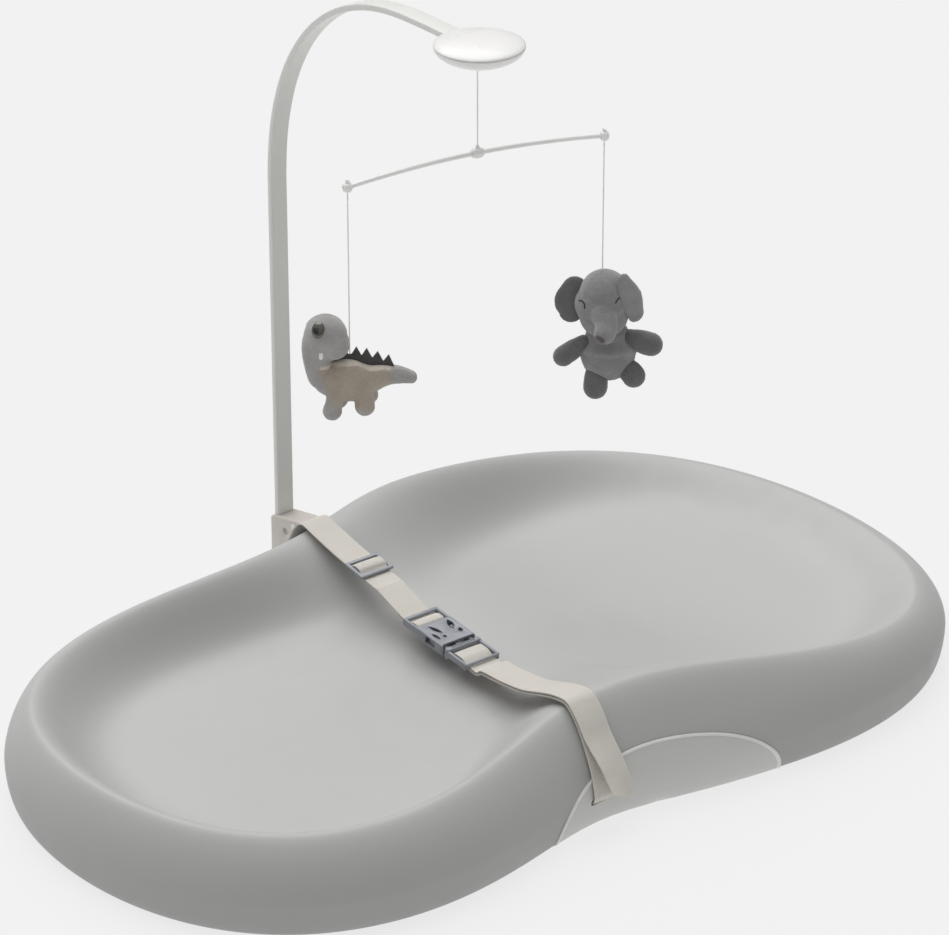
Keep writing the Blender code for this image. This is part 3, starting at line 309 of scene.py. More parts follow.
def plush(name, colour, second=None, third=None):
    """Short velour pile. Face attributes panel and edge paint a second and a third cloth."""
    made, n = blank_material(name)
    place = n.place()
    pile = n.noise(place, 0.00045, 3.0, 0.7)
    tufts = n.noise(place, 0.0022, 2.0, 0.6)
    brushed = n.noise(place, 0.012, 2.0, 0.5)
    base = colour
    if second is not None:
        base = n.mix(n.add("ShaderNodeAttribute", attribute_name="panel").outputs["Fac"], colour, second)
    if third is not None:
        base = n.mix(n.add("ShaderNodeAttribute", attribute_name="edge").outputs["Fac"], base, third)
    deep = n.add("ShaderNodeMix", data_type="RGBA", blend_type="MULTIPLY")
    deep.inputs[0].default_value = 1.0
    shade_of = n.math("ADD", n.range(pile, 0.25, 0.75, 0.30, 0.62), n.range(brushed, 0.3, 0.7, 0.30, 0.45))
    shade_of = n.math("ADD", shade_of, n.range(tufts, 0.3, 0.7, 0.0, 0.10))
    if isinstance(base, tuple):
        deep.inputs[6].default_value = (*base, 1.0)
    else:
        n.link(base, deep.inputs[6])
    grey = n.add("ShaderNodeCombineColor")
    for socket in grey.inputs:
        n.link(shade_of, socket)
    n.link(grey.outputs[0], deep.inputs[7])
    n.link(deep.outputs[2], n.shader.inputs["Base Color"])
    height = n.math("ADD", n.math("MULTIPLY", pile, 0.6), n.math("MULTIPLY", tufts, 0.9))
    n.link(n.bump(height, 0.0006), n.shader.inputs["Normal"])
    n.shader.inputs["Roughness"].default_value = 1.0
    n.shader.inputs["Specular IOR Level"].default_value = 0.15
    n.shader.inputs["Sheen Weight"].default_value = 0.55
    n.shader.inputs["Sheen Roughness"].default_value = 0.45
    return made


# The foam's outer wall gets painted shade, darker towards the floor.
FOAM = plastic("foam_skin", (0.485, 0.485, 0.479), 0.52, 0.018, 0.0009, 0.00003, foot=True)
PLATE = plastic("strap_plate", (0.63, 0.626, 0.608), 0.50, 0.02, 0.0005, 0.00002)
# Lighter grey for the plates' raised lip: a painted highlight where the lip catches the light from above.
PLATE_LIP_HIGHLIGHT = plastic("strap_plate_lip_highlight", (0.80, 0.795, 0.775), 0.45, 0.02, 0.0005, 0.00001)
CREAM = webbing("webbing_cream", (0.80, 0.765, 0.70), (0.55, 0.52, 0.47))
BUCKLE = plastic("buckle_grey", (0.29, 0.305, 0.335), 0.33, 0.04, 0.0004, 0.00001)
GLIDE = plastic("glide_grey", (0.33, 0.345, 0.375), 0.33, 0.04, 0.0004, 0.00001)
BEIGE = plastic("socket_beige", (0.66, 0.62, 0.57), 0.42, 0.03, 0.0005, 0.00002)
STRIP = plastic("arch_grey", (0.80, 0.80, 0.77), 0.40, 0.02, 0.0006, 0.00001)
WHITE = plastic("white_plastic", (0.90, 0.895, 0.88), 0.30, 0.015, 0.0005, 0.000006)
STEEL = plastic("screw_steel", (0.52, 0.52, 0.52), 0.30, 0.10, 0.0003, 0.00001, 0.0, 1.0)
STRING = plastic("string_white", (0.90, 0.90, 0.89), 0.85, 0.04, 0.0003, 0.00005)
DINO_PLUSH = plush("dino_plush", (0.476, 0.461, 0.447), (0.512, 0.445, 0.366), (0.805, 0.730, 0.638))
FELT = plush("spike_felt", (0.090, 0.088, 0.086))
ELEPHANT_PLUSH = plush("elephant_plush", (0.335, 0.333, 0.338), (0.135, 0.112, 0.118))
ELEPHANT_LIMB = plush("dark_elephant_plush", (0.198, 0.198, 0.202), (0.30, 0.255, 0.26))
THREAD = plastic("dark_thread", (0.035, 0.035, 0.035), 0.7, 0.1, 0.0002, 0.00004)
EYE_IRIS = plastic("eye_olive", (0.075, 0.078, 0.055), 0.12, 0.25, 0.0004, 0.000002, 1.0)
EYE_PUPIL = plastic("eye_black", (0.010, 0.010, 0.010), 0.08, 0.1, 0.0004, 0.000002, 1.0)

# ---------------------------------------------------------------- building pieces


def place_piece(obj, body, material, nodes=(), smooth=40.0):
    """Dress a piece, let it stand for its CAD nodes and ride on its body; a piece given no body rides on
    nothing.
    """
    obj.data.materials.clear()
    obj.data.materials.append(material)
    if smooth:
        obj.data.shade_smooth()
        obj.data.set_sharp_from_angle(angle=math.radians(smooth))
    if body:
        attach(obj, body)
    if nodes:
        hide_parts(*nodes)
    return obj


def object_from(name, bm, matrix=None):
    if matrix is not None:
        bmesh.ops.transform(bm, matrix=matrix, verts=bm.verts)
    bmesh.ops.recalc_face_normals(bm, faces=bm.faces)
    if bm.calc_volume(signed=True) < 0:
        bmesh.ops.reverse_faces(bm, faces=bm.faces)
    mesh = bpy.data.meshes.new(name)
    bm.to_mesh(mesh)
    bm.free()
    obj = bpy.data.objects.new(name, mesh)
    bpy.context.scene.collection.objects.link(obj)
    return obj


def skin_bmesh(rings, close=True):
    """Quads through rings of points; a ring of one point closes an end, and so does a cap."""
    bm = bmesh.new()
    rows = [[bm.verts.new(point) for point in ring] for ring in rings]
    for row, following in zip(rows, rows[1:]):
        count = max(len(row), len(following))
        for i in range(count):
            j = (i + 1) % count
            corners = [row[i % len(row)], row[j % len(row)]]
            corners += [following[j % len(following)], following[i % len(following)]]
            bm.faces.new(list(dict.fromkeys(corners)))
    for row in (rows[0], rows[-1]):
        if close and len(row) > 2:
            bm.faces.new(row)
    return bm


def rounded_box(low, high, radius, segments=3, matrix=None):
    """A box with rounded edges, as a bmesh."""
    low, high = Vector(low), Vector(high)
    bm = bmesh.new()
    bmesh.ops.create_cube(bm, size=1.0)
    bmesh.ops.scale(bm, vec=high - low, verts=bm.verts)
    bmesh.ops.translate(bm, vec=(low + high) / 2, verts=bm.verts)
    if radius:
        bmesh.ops.bevel(bm, geom=bm.edges[:], offset=radius, segments=segments, affect="EDGES", profile=0.5)
    if matrix is not None:
        bmesh.ops.transform(bm, matrix=matrix, verts=bm.verts)
    return bm


def round_bar(start, end, radius, sides=24, bevel=0.0):
    start, end = Vector(start), Vector(end)
    along = end - start
    bm = bmesh.new()
    bmesh.ops.create_cone(
        bm, cap_ends=True, segments=sides, radius1=radius, radius2=radius, depth=along.length
    )
    if bevel:
        ends = [e for e in bm.edges if len({round(v.co.z, 6) for v in e.verts}) == 1]
        bmesh.ops.bevel(bm, geom=ends, offset=bevel, segments=3, affect="EDGES", profile=0.5)
    turn = along.to_track_quat("Z", "Y").to_matrix().to_4x4()
    bmesh.ops.transform(bm, matrix=Matrix.Translation((start + end) / 2) @ turn, verts=bm.verts)
    return bm


def cut(obj, tools, operation="DIFFERENCE"):
    """Boolean each bmesh tool into the object and keep the result as its mesh."""
    for tool in tools:
        cutter = object_from("tool", tool)
        step = obj.modifiers.new("cut", "BOOLEAN")
        step.operation = operation
        step.solver = "EXACT"
        step.object = cutter
        apply_modifiers(obj)
        bpy.data.objects.remove(cutter)
    return obj


def apply_modifiers(obj):
    bpy.context.view_layer.update()
    graph = bpy.context.evaluated_depsgraph_get()
    made = bpy.data.meshes.new_from_object(obj.evaluated_get(graph))
    old = obj.data
    obj.modifiers.clear()
    obj.data = made
    bpy.data.meshes.remove(old)
    return obj


def soften(obj, width, segments=3, angle=30.0):
    """Round the sharp edges left by the cuts."""
    step = obj.modifiers.new("round", "BEVEL")
    step.width = width
    step.segments = segments
    step.limit_method = "ANGLE"
    step.angle_limit = math.radians(angle)
    step.use_clamp_overlap = True
    return apply_modifiers(obj)


def lathe(profile, sides=96, centre=(0.0, 0.0, 0.0)):
    """A turned body about a vertical axis, from (radius, height) points that start and end on the axis."""
    rings = []
    for radius, height in profile:
        if radius < 1e-7:
            rings.append([(centre[0], centre[1], centre[2] + height)])
        else:
            rings.append([
                (centre[0] + radius * math.cos(t), centre[1] + radius * math.sin(t), centre[2] + height)
                for t in (2 * math.pi * i / sides for i in range(sides))
            ])
    return skin_bmesh(rings, close=False)


def smooth_path(route, spacing):
    """Evenly spaced points on a Catmull-Rom curve through the route."""
    points = [Vector((*p, 0.0)[:3]) for p in route]
    padded = [2 * points[0] - points[1], *points, 2 * points[-1] - points[-2]]
    dense = []
    steps = 24
    for a, b, c, d in zip(padded, padded[1:], padded[2:], padded[3:]):
        for i in range(steps):
            t = i / steps
            cubic = (3 * b - a - 3 * c + d) * t**3
            square = (2 * a - 5 * b + 4 * c - d) * t**2
            dense.append(0.5 * (2 * b + (c - a) * t + square + cubic))
    dense.append(points[-1])
    spots = np.array([tuple(p) for p in dense])
    steps_long = np.linalg.norm(np.diff(spots, axis=0), axis=1)
    reach = np.concatenate([[0.0], np.cumsum(steps_long)])
    wanted = np.linspace(0.0, reach[-1], max(3, round(reach[-1] / spacing) + 1))
    return [Vector(tuple(np.interp(w, reach, spots[:, k]) for k in range(3))) for w in wanted], reach[-1]


def arc(centre, radius, first, last, steps=8):
    angles = [math.radians(first + (last - first) * i / steps) for i in range(steps + 1)]
    return [(centre[0] + radius * math.cos(a), centre[1] + radius * math.sin(a)) for a in angles]


# ---------------------------------------------------------------- pad surface


def outline_radius(a):
    even = sum(c * np.cos(2 * (i + 1) * a) for i, c in enumerate(OUTLINE_EVEN))
    return OUTLINE_MEAN + even + sum(c * np.cos((2 * i + 1) * a) for i, c in enumerate(OUTLINE_HEAD))


def outline_xy(a):
    r = outline_radius(a)
    return PAD_CENTRE_X + r * np.cos(a), r * np.sin(a)


def outline_normal(a):
    x0, y0 = outline_xy(a - 0.001)
    x1, y1 = outline_xy(a + 0.001)
    length = np.hypot(x1 - x0, y1 - y0)
    return (y1 - y0) / length, -(x1 - x0) / length


def rim_height(a):
    even = RIM_WAIST * np.cos(2 * a) + RIM_SHOULDER * np.cos(4 * a)
    head = RIM_TILT * np.cos(a) + RIM_HEAD * np.cos(3 * a)
    return RIM_MEAN + even + head + RIM_REAR[0] * np.sin(a) + RIM_REAR[1] * np.sin(3 * a)


def rim_inset(a):
    rear = RIM_INSET_REAR[0] * np.sin(a) + RIM_INSET_REAR[1] * np.sin(2 * a)
    return RIM_INSET_MEAN + RIM_INSET_WAIST * np.cos(2 * a) + rear


def wall_inset(a, z):
    """How far the outer wall at height z stands in from the outline."""
    below = FOOT_INSET * (1 - np.sin(np.arccos(np.clip(1 - z / BULGE_HEIGHT, -1, 1))))
    share = np.clip((z - BULGE_HEIGHT) / (rim_height(a) - BULGE_HEIGHT), 0.0, 1.0)
    above = rim_inset(a) * (1 - (1 - share**WALL_POWER) ** (1 / WALL_POWER))
    return np.where(z < BULGE_HEIGHT, below, above)


def basin_floor(x):
    return FLOOR_LOBE + (FLOOR_WAIST - FLOOR_LOBE) * np.exp(-(((x - PAD_CENTRE_X) / WAIST_REACH) ** 2))


def wall_y(x, z, side, grow=0.0):
    """Y of the outer wall, moved out by grow, at x and z on the front (-1) or rear (+1) long side."""
    low = np.full(np.shape(x), 0.25 * math.pi)
    high = np.full(np.shape(x), 0.75 * math.pi)
    for _ in range(36):
        middle = (low + high) / 2
        px, _py = outline_xy(middle)
        nx, _ny = outline_normal(middle)
        beyond = px - nx * (wall_inset(side * middle, z) - grow) > x
        low = np.where(beyond, middle, low)
        high = np.where(beyond, high, middle)
    _px, py = outline_xy(low)
    _nx, ny = outline_normal(low)
    return side * (py - ny * (wall_inset(side * low, z) - grow))


def slot_y(side, z):
    """Where the strap line meets the outer wall, along the strap's own Y."""
    flat = float(wall_y(np.array(STRAP_X), np.array(z), side))
    x = STRAP_X - math.tan(STRAP_SKEW) * flat
    return float(wall_y(np.array(x), np.array(z), side)) / math.cos(STRAP_SKEW)


def pad_rings(sides, grow=0.0, depth=0.0):
    """Rings from the middle of the underside, up the wall, over the rim and down into the basin."""
    a = np.linspace(0, 2 * math.pi, sides, endpoint=False)
    px, py = outline_xy(a)
    nx, ny = outline_normal(a)
    height = rim_height(a)
    inset = rim_inset(a)
    rings = []

    def ring(inward, z):
        out = grow - inward
        rings.append(np.stack([px + nx * out, py + ny * out, np.broadcast_to(z, a.shape)], 1))

    for share in (0.25, 0.6, 0.9):
        ring(FOOT_INSET + 0.004, -depth)
        rings[-1][:, 0] = PAD_CENTRE_X + (rings[-1][:, 0] - PAD_CENTRE_X) * share
        rings[-1][:, 1] *= share
    ring(FOOT_INSET + 0.0030, -depth)
    ring(FOOT_INSET + 0.0012, 0.0002 - depth)
    for u in np.linspace(0.12, math.pi / 2, 10):
        ring(FOOT_INSET * (1 - math.sin(u)), BULGE_HEIGHT * (1 - math.cos(u)))
    for turn in np.linspace(0, math.pi / 2, 30)[1:]:
        share = math.sin(turn) ** (2 / WALL_POWER)
        inward = inset * (1 - max(math.cos(turn), 0.0) ** (2 / WALL_POWER))
        ring(inward, BULGE_HEIGHT + share * (height - BULGE_HEIGHT))
    crest = rings[-1].copy()
    out_x = crest[:, 0] - PAD_CENTRE_X
    out_y = crest[:, 1]
    reach = np.hypot(out_x, out_y)
    mean = (INNER_WALL_END + INNER_WALL_WAIST) / 2
    half = (INNER_WALL_END - INNER_WALL_WAIST) / 2
    width = mean + half * np.cos(2 * a)
    for t in np.linspace(0, 1, 30)[1:] ** 1.25:
        scale = 1 - t * width / reach
        x = PAD_CENTRE_X + out_x * scale
        floor = basin_floor(x)
        z = floor + (height - floor) * (1 - t) ** 3.5 * (1 + 3.5 * t)
        rings.append(np.stack([x, out_y * scale, z], 1))
    last = rings[-1]
    for share in (0.85, 0.7, 0.55, 0.4, 0.25, 0.1):
        x = PAD_CENTRE_X + (last[:, 0] - PAD_CENTRE_X) * share
        rings.append(np.stack([x, last[:, 1] * share, basin_floor(x)], 1))
    first = [(PAD_CENTRE_X, 0.0, -depth)]
    end = [(PAD_CENTRE_X, 0.0, float(basin_floor(PAD_CENTRE_X)))]
    return [first, *[[tuple(p) for p in ring_of] for ring_of in rings], end]


def wall_patch(side, margin, outer, inner, lip=0.0, across=72):
    """A closed half-moon that follows the outer wall. outer and inner are its faces' offsets from it."""
    radius_x = PLATE_HALF_WIDTH + margin
    radius_z = PLATE_HEIGHT + margin
    edges = (0.0, 0.0002, 0.0006, 0.0010, 0.0014, 0.0019, 0.0023, 0.0040, 0.0080)
    shares = [0.12, 0.25, 0.4, 0.55, 0.7, 0.82, *[1 - d / radius_z for d in edges[::-1]]]
    depths = [1.0] * 6 + [d for d in edges[::-1]]
    turns = np.linspace(0, math.pi, across + 1)
    bottom = -0.004 if margin else 0.0

    def layer(offset, shaped):
        rows = []
        for share, edge in zip(shares, depths):
            x = PLATE_CENTRE_X + radius_x * share * np.cos(turns)
            z = radius_z * share * np.sin(turns)
            z[0] = z[-1] = bottom
            grow = offset
            if shaped:
                rounded = 0.0007
                drop = rounded - math.sqrt(max(0.0, rounded**2 - max(0.0, rounded - edge) ** 2))
                grow = offset - drop + (lip if edge < 0.0016 else 0.0)
            y = wall_y(x, np.maximum(z, 0.0), side, grow)
            rows.append([(float(p), float(q), float(r)) for p, q, r in zip(x, y, z)])
        pole_y = float(wall_y(np.array(PLATE_CENTRE_X), np.array(0.0), side, offset))
        return rows, (PLATE_CENTRE_X, pole_y, bottom)

    bm = bmesh.new()
    front, front_pole = layer(outer, lip > 0)
    back, back_pole = layer(inner, False)
    layers = []
    for rows, pole in ((front, front_pole), (back, back_pole)):
        middle = bm.verts.new(pole)
        grid = [[bm.verts.new(p) for p in row] for row in rows]
        for i in range(across):
            bm.faces.new((middle, grid[0][i], grid[0][i + 1]))
        for row, following in zip(grid, grid[1:]):
            for i in range(across):
                bm.faces.new((row[i], following[i], following[i + 1], row[i + 1]))
        layers.append((middle, grid))
    (mid_a, grid_a), (mid_b, grid_b) = layers
    for i in range(across):
        bm.faces.new((grid_a[-1][i], grid_a[-1][i + 1], grid_b[-1][i + 1], grid_b[-1][i]))
    for end in (0, -1):
        line_a = [mid_a, *[row[end] for row in grid_a]]
        line_b = [mid_b, *[row[end] for row in grid_b]]
        for i in range(len(line_a) - 1):
            bm.faces.new((line_a[i], line_a[i + 1], line_b[i + 1], line_b[i]))
    return bm


def strap_box(side, slot_z, half_x, half_z, near, far, radius=0.0):
    """A box round a slot, in the strap's frame; near and far are measured outwards from the wall."""
    face = slot_y(side, slot_z)
    first, last = sorted((face + side * near, face + side * far))
    low, high = (-half_x, first, slot_z - half_z), (half_x, last, slot_z + half_z)
    return rounded_box(low, high, radius, 3, STRAP_FRAME)


def foot_shade_share(spot):
    """Share of painted shade on the pad's outer wall, by how far down it a point is: 1 at the foot, 0 above
    60 mm and inside the rim.
    """
    a = math.atan2(spot.y, spot.x - PAD_CENTRE_X)
    reach = math.hypot(spot.x - PAD_CENTRE_X, spot.y)
    outside = reach > outline_radius(a) - rim_inset(a) * 1.05
    return max(0.0, 1 - spot.z / 0.06) if outside else 0.0


def build_pad():
    pad = object_from("pad", skin_bmesh(pad_rings(288)))
    for side, slot_z in ((-1, FRONT_SLOT_Z), (1, REAR_SLOT_Z)):
        recess = wall_patch(side, 0.0003, 0.0040, PLATE_BACK - 0.0005)
        pocket = strap_box(side, slot_z, 0.0170, 0.0060, -0.0175, 0.0010)
        cut(pad, (recess, pocket))
    # Painted shade on the outer wall, strongest at the foot.
    paint(pad, foot=foot_shade_share)
    place_piece(pad, "pad", FOAM, ["pad_body"], 50)
    return pad


def build_plate(name, side, slot_z, node):
    plate = object_from(name, wall_patch(side, 0.0, PLATE_PROUD, PLATE_BACK, 0.0006, 108))
    cut(plate, [strap_box(side, slot_z, SLOT_SIZE[0] / 2, SLOT_SIZE[1] / 2, -0.010, 0.010, 0.0012)])
    place_piece(plate, "pad", PLATE, [node], 35)
    # The faces along the lip take the lighter material, a painted highlight.
    plate.data.materials.append(PLATE_LIP_HIGHLIGHT)
    for face in plate.data.polygons:
        x, _y, z = face.center
        spread = math.hypot((x - PLATE_CENTRE_X) / PLATE_HALF_WIDTH, z / PLATE_HEIGHT)
        if (1 - spread) * PLATE_HEIGHT < 0.0017:
            face.material_index = 1
    return plate


# ---------------------------------------------------------------- strings


def twisted_string(name, top, bottom, body, node):
    """Two strands laid round each other, straight down from top to bottom."""
    top, bottom = Vector(top), Vector(bottom)
    length = (top - bottom).length
    strand = STRING_DIAMETER * 0.27
    lay = STRING_DIAMETER * 0.23
    pitch = 0.0030
    count = max(8, round(length / pitch * 8))
    bm = bmesh.new()
    for start in (0.0, math.pi):
        rows = []
        for i in range(count + 1):
            down = length * i / count
            turn = start + 2 * math.pi * down / pitch
            centre = top + Vector((lay * math.cos(turn), lay * math.sin(turn), -down))
            rows.append([
                bm.verts.new(centre + Vector((strand * math.cos(t), strand * math.sin(t), 0.0)))
                for t in (2 * math.pi * k / 7 for k in range(7))
            ])
        for row, following in zip(rows, rows[1:]):
            for k in range(7):
                j = (k + 1) % 7
                bm.faces.new((row[k], row[j], following[j], following[k]))
        bm.faces.new(rows[0])
        bm.faces.new(rows[-1])
    piece = object_from(name, bm)
    place_piece(piece, body, STRING, [node], 60)
    return piece


def bar_height(x):
    return BAR_Z - BAR_RISE * (x / BAR_HALF_LENGTH) ** 2


def on_bar(x, z):
    return tuple(BAR_FRAME @ Vector((x, 0.0, z)))


STRING_TOP_Z = bar_height(HANG_X) - BEAD_RADIUS - 0.0003


def build_strings():
    centre_top = on_bar(0, SWIVEL_FOOT_Z - 0.0003)
    twisted_string("mobile_string", centre_top, on_bar(0, BAR_Z + BEAD_RADIUS + 0.0003),
                   "mobile", "centre_string")
    dino_top = on_bar(-HANG_X, STRING_TOP_Z)
    twisted_string("dinosaur_string", dino_top, on_bar(-HANG_X, DINO_HANG_Z + DINO_STRING_FOOT + 0.0003),
                   "dino_line", "dino_string")
    elephant_top = on_bar(HANG_X, STRING_TOP_Z)
    twisted_string("elephant_hanging_string", elephant_top, on_bar(HANG_X, ELEPHANT_HANG_Z + 0.0003),
                   "elephant_line", "elephant_string")


# ---------------------------------------------------------------- webbing


def ribbon(name, route, matrix, shift=None):
    """Webbing along a route of (y, z), with rolled selvedges and a UV map in metres, and its flat size."""
    path, length = smooth_path(route, 0.0011)
    half_w, half_t = WEBBING_WIDTH / 2, WEBBING_THICKNESS / 2
    across = 12
    flat_width = WEBBING_WIDTH - 2 * half_t
    upper = [(-half_w + half_t + flat_width * i / across, half_t) for i in range(across + 1)]
    edge_x = half_w - half_t * 0.3
    edge = [(edge_x, half_t * 0.75), (half_w, 0.0), (edge_x, -half_t * 0.75)]
    section = upper + edge + [(x, -t) for x, t in upper[::-1]] + [(-x, -t) for x, t in edge]
    bm = bmesh.new()
    layer = bm.loops.layers.uv.new("strap")
    rows = []
    for i, point in enumerate(path):
        ahead = path[min(i + 1, len(path) - 1)] - path[max(i - 1, 0)]
        normal = Vector((-ahead.y, ahead.x)).normalized()
        along = length * i / (len(path) - 1)
        cup = 0.00018 * math.sin(along / 0.021) + 0.00010 * math.sin(along / 0.0083)
        row = []
        for x, t in section:
            bow = cup * (1 - (x / half_w) ** 2)
            side, out, rise = shift(along, length, x) if shift else (0.0, 0.0, 0.0)
            spot = (x + side, point.x + normal.x * (t + bow) + out, point.y + normal.y * (t + bow) + rise)
            row.append(bm.verts.new(spot))
        rows.append((row, along))
    count = len(section)
    for (row, near), (following, far) in zip(rows, rows[1:]):
        for k in range(count):
            j = (k + 1) % count
            face = bm.faces.new((row[k], row[j], following[j], following[k]))
            for loop, (x, v) in zip(face.loops, ((section[k][0], near), (section[j][0], near),
                                                 (section[j][0], far), (section[k][0], far))):
                loop[layer].uv = (x + half_w, v)
    for row, _v in (rows[0], rows[-1]):
        bm.faces.new(row)
    return object_from(name, bm, matrix), (WEBBING_WIDTH, length)


def anchor_loop(side, slot_z):
    centre = (slot_y(side, slot_z) - side * ANCHOR_DEPTH, slot_z)
    radius = ANCHOR_RADIUS + 0.0006 + WEBBING_THICKNESS / 2
    return arc(centre, radius, -150, 90, 10) if side < 0 else arc(centre, radius, -30, -270, 10)


def buckle_to_strap(y, z):
    c, s = math.cos(BUCKLE_TILT), math.sin(BUCKLE_TILT)
    return (BUCKLE_Y + y * c - z * s, BUCKLE_Z + y * s + z * c)


def rear_route():
    face, low = slot_y(1, REAR_SLOT_Z), REAR_SLOT_Z
    route = anchor_loop(1, low)
    route += [(face - 0.0046, low - 0.0001), (face + 0.0030, low - 0.0004), (face + 0.0040, low + 0.0028)]
    route += [(face + 0.0040, low + 0.0080), (0.1960, 0.0550)]
    route += [(0.1932, 0.0635), (0.1882, 0.0762), (0.1824, 0.0878), (0.1762, 0.0962), (0.1680, 0.1006)]
    route += [(0.150, 0.0972), (0.125, 0.0925), (0.0965, 0.08875)]
    route += [(0.0820, 0.08684), (0.0720, 0.08553), (0.068, 0.0850)]
    top = [(0.0535, -0.0004), (0.0480, -0.0004), (0.0440, 0.0014), (0.0412, WRAP), (0.0385, WRAP)]
    turn = arc((0.0375, 0.0), WRAP, 90, 270, 8)
    back = [(0.0400, -WRAP), (0.0450, -0.0026), (0.0550, -0.0024), (0.0620, -0.0021)]
    return route + [buckle_to_strap(y, z) for y, z in top + turn + back]


def front_route():
    face, low = slot_y(-1, FRONT_SLOT_Z), FRONT_SLOT_Z
    route = anchor_loop(-1, low)
    route += [(face + 0.0032, low + 0.0002), (face - 0.0014, low - 0.0002), (face - 0.0033, low + 0.0022)]
    route += [(face - 0.0036, low + 0.0070), (-0.1947, 0.0449), (-0.1896, 0.0568), (-0.1832, 0.0687)]
    route += [(-0.1761, 0.0795), (-0.1692, 0.0868), (-0.1620, 0.0912), (-0.1500, 0.0900), (-0.1360, 0.0862)]
    route += [(-0.1200, 0.0805), (-0.1076, 0.0767), (-0.0850, 0.0730), (-0.0620, 0.0706)]
    under = [(-0.0380, -0.0024), (-0.0300, -0.0026), (-0.0200, -WRAP), (-0.0130, -WRAP)]
    turn = arc((-0.0120, 0.0), WRAP, -90, 90, 8)
    over = [(-0.0140, WRAP), (-0.0192, WRAP), (-0.0225, 0.0014), (-0.0265, -0.0004)]
    over += [(-0.0320, -0.0004), (-0.0380, -0.0002)]
    route += [buckle_to_strap(y, z) for y, z in under + turn + over]
    route += [(-0.0625, 0.0732), (-0.0850, 0.0753), (-0.1076, 0.0789), (-0.1206, 0.0828), (-0.1366, 0.0886)]
    route += [(-0.1502, 0.0926), (-0.1632, 0.0938), (-0.1712, 0.0886), (-0.1786, 0.0806), (-0.1858, 0.0700)]
    route += [(-0.1975, 0.0560), (-0.2050, 0.0432), (-0.2107, 0.0293)]
    return route


TAIL_SWING = 0.0045  # the free tail hangs this far to the side of the slot
TAIL_YAW = 0.28  # and turns its left edge away from the wall


def tail_lie(along, length, x):
    """The free tail's last stretch: sideways swing, turn away from the wall, and its slanting cut end."""
    left = length - along
    share = min(1.0, max(0.0, (0.060 - left) / 0.060))
    side = TAIL_SWING * share * share * (3 - 2 * share)
    turn = TAIL_YAW * min(1.0, max(0.0, (0.075 - left) / 0.0495)) ** 2
    slant = max(0.0, 1 - left / 0.018)
    drop = slant * (0.60 * x - 1.20 * max(0.0, x - 0.005))
    return side, turn * x, -drop


def build_webbing():
    rear, flat = ribbon("strap_rear", rear_route(), STRAP_FRAME)
    place_piece(rear, "pad", CREAM, ["rear_webbing"], 60)

    front, flat = ribbon("strap_front", front_route(), STRAP_FRAME, tail_lie)
    place_piece(front, None, CREAM, ["front_webbing"], 60)
    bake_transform(front)

    low = WEBBING_THICKNESS + 0.0004
    high = WEBBING_THICKNESS / 2 + 0.0027 + 0.0006 + WEBBING_THICKNESS / 2
    fold = [(-0.0068, low), (-0.0052, low + 0.0010), (-0.0034, high - 0.0002), (0.0, high + 0.0002)]
    fold += [(0.0034, high - 0.0002), (0.0052, low + 0.0010), (0.0068, low)]
    loop, flat = ribbon("strap_fold", fold, GLIDE_FRAME)
    place_piece(loop, "tri_glide", CREAM, ["glide_loop"], 60)


# ---------------------------------------------------------------- buckle and tri-glide


def lens(x, y, length, width, turn):
    """A lens-shaped cutter through the buckle's top wall."""
    steps = 10
    side = []
    for i in range(steps + 1):
        t = -1 + 2 * i / steps
        side.append((t * length / 2, width / 2 * (1 - t * t)))
    outline = [(b, a) for a, b in side] + [(-b, a) for a, b in side[::-1][1:-1]]
    place = Matrix.Translation((x, y, 0)) @ Matrix.Rotation(math.radians(turn), 4, "Z")
    rings = [[tuple(place @ Vector((p, q, z))) for p, q in outline] for z in (0.0015, 0.0075)]
    return skin_bmesh(rings)


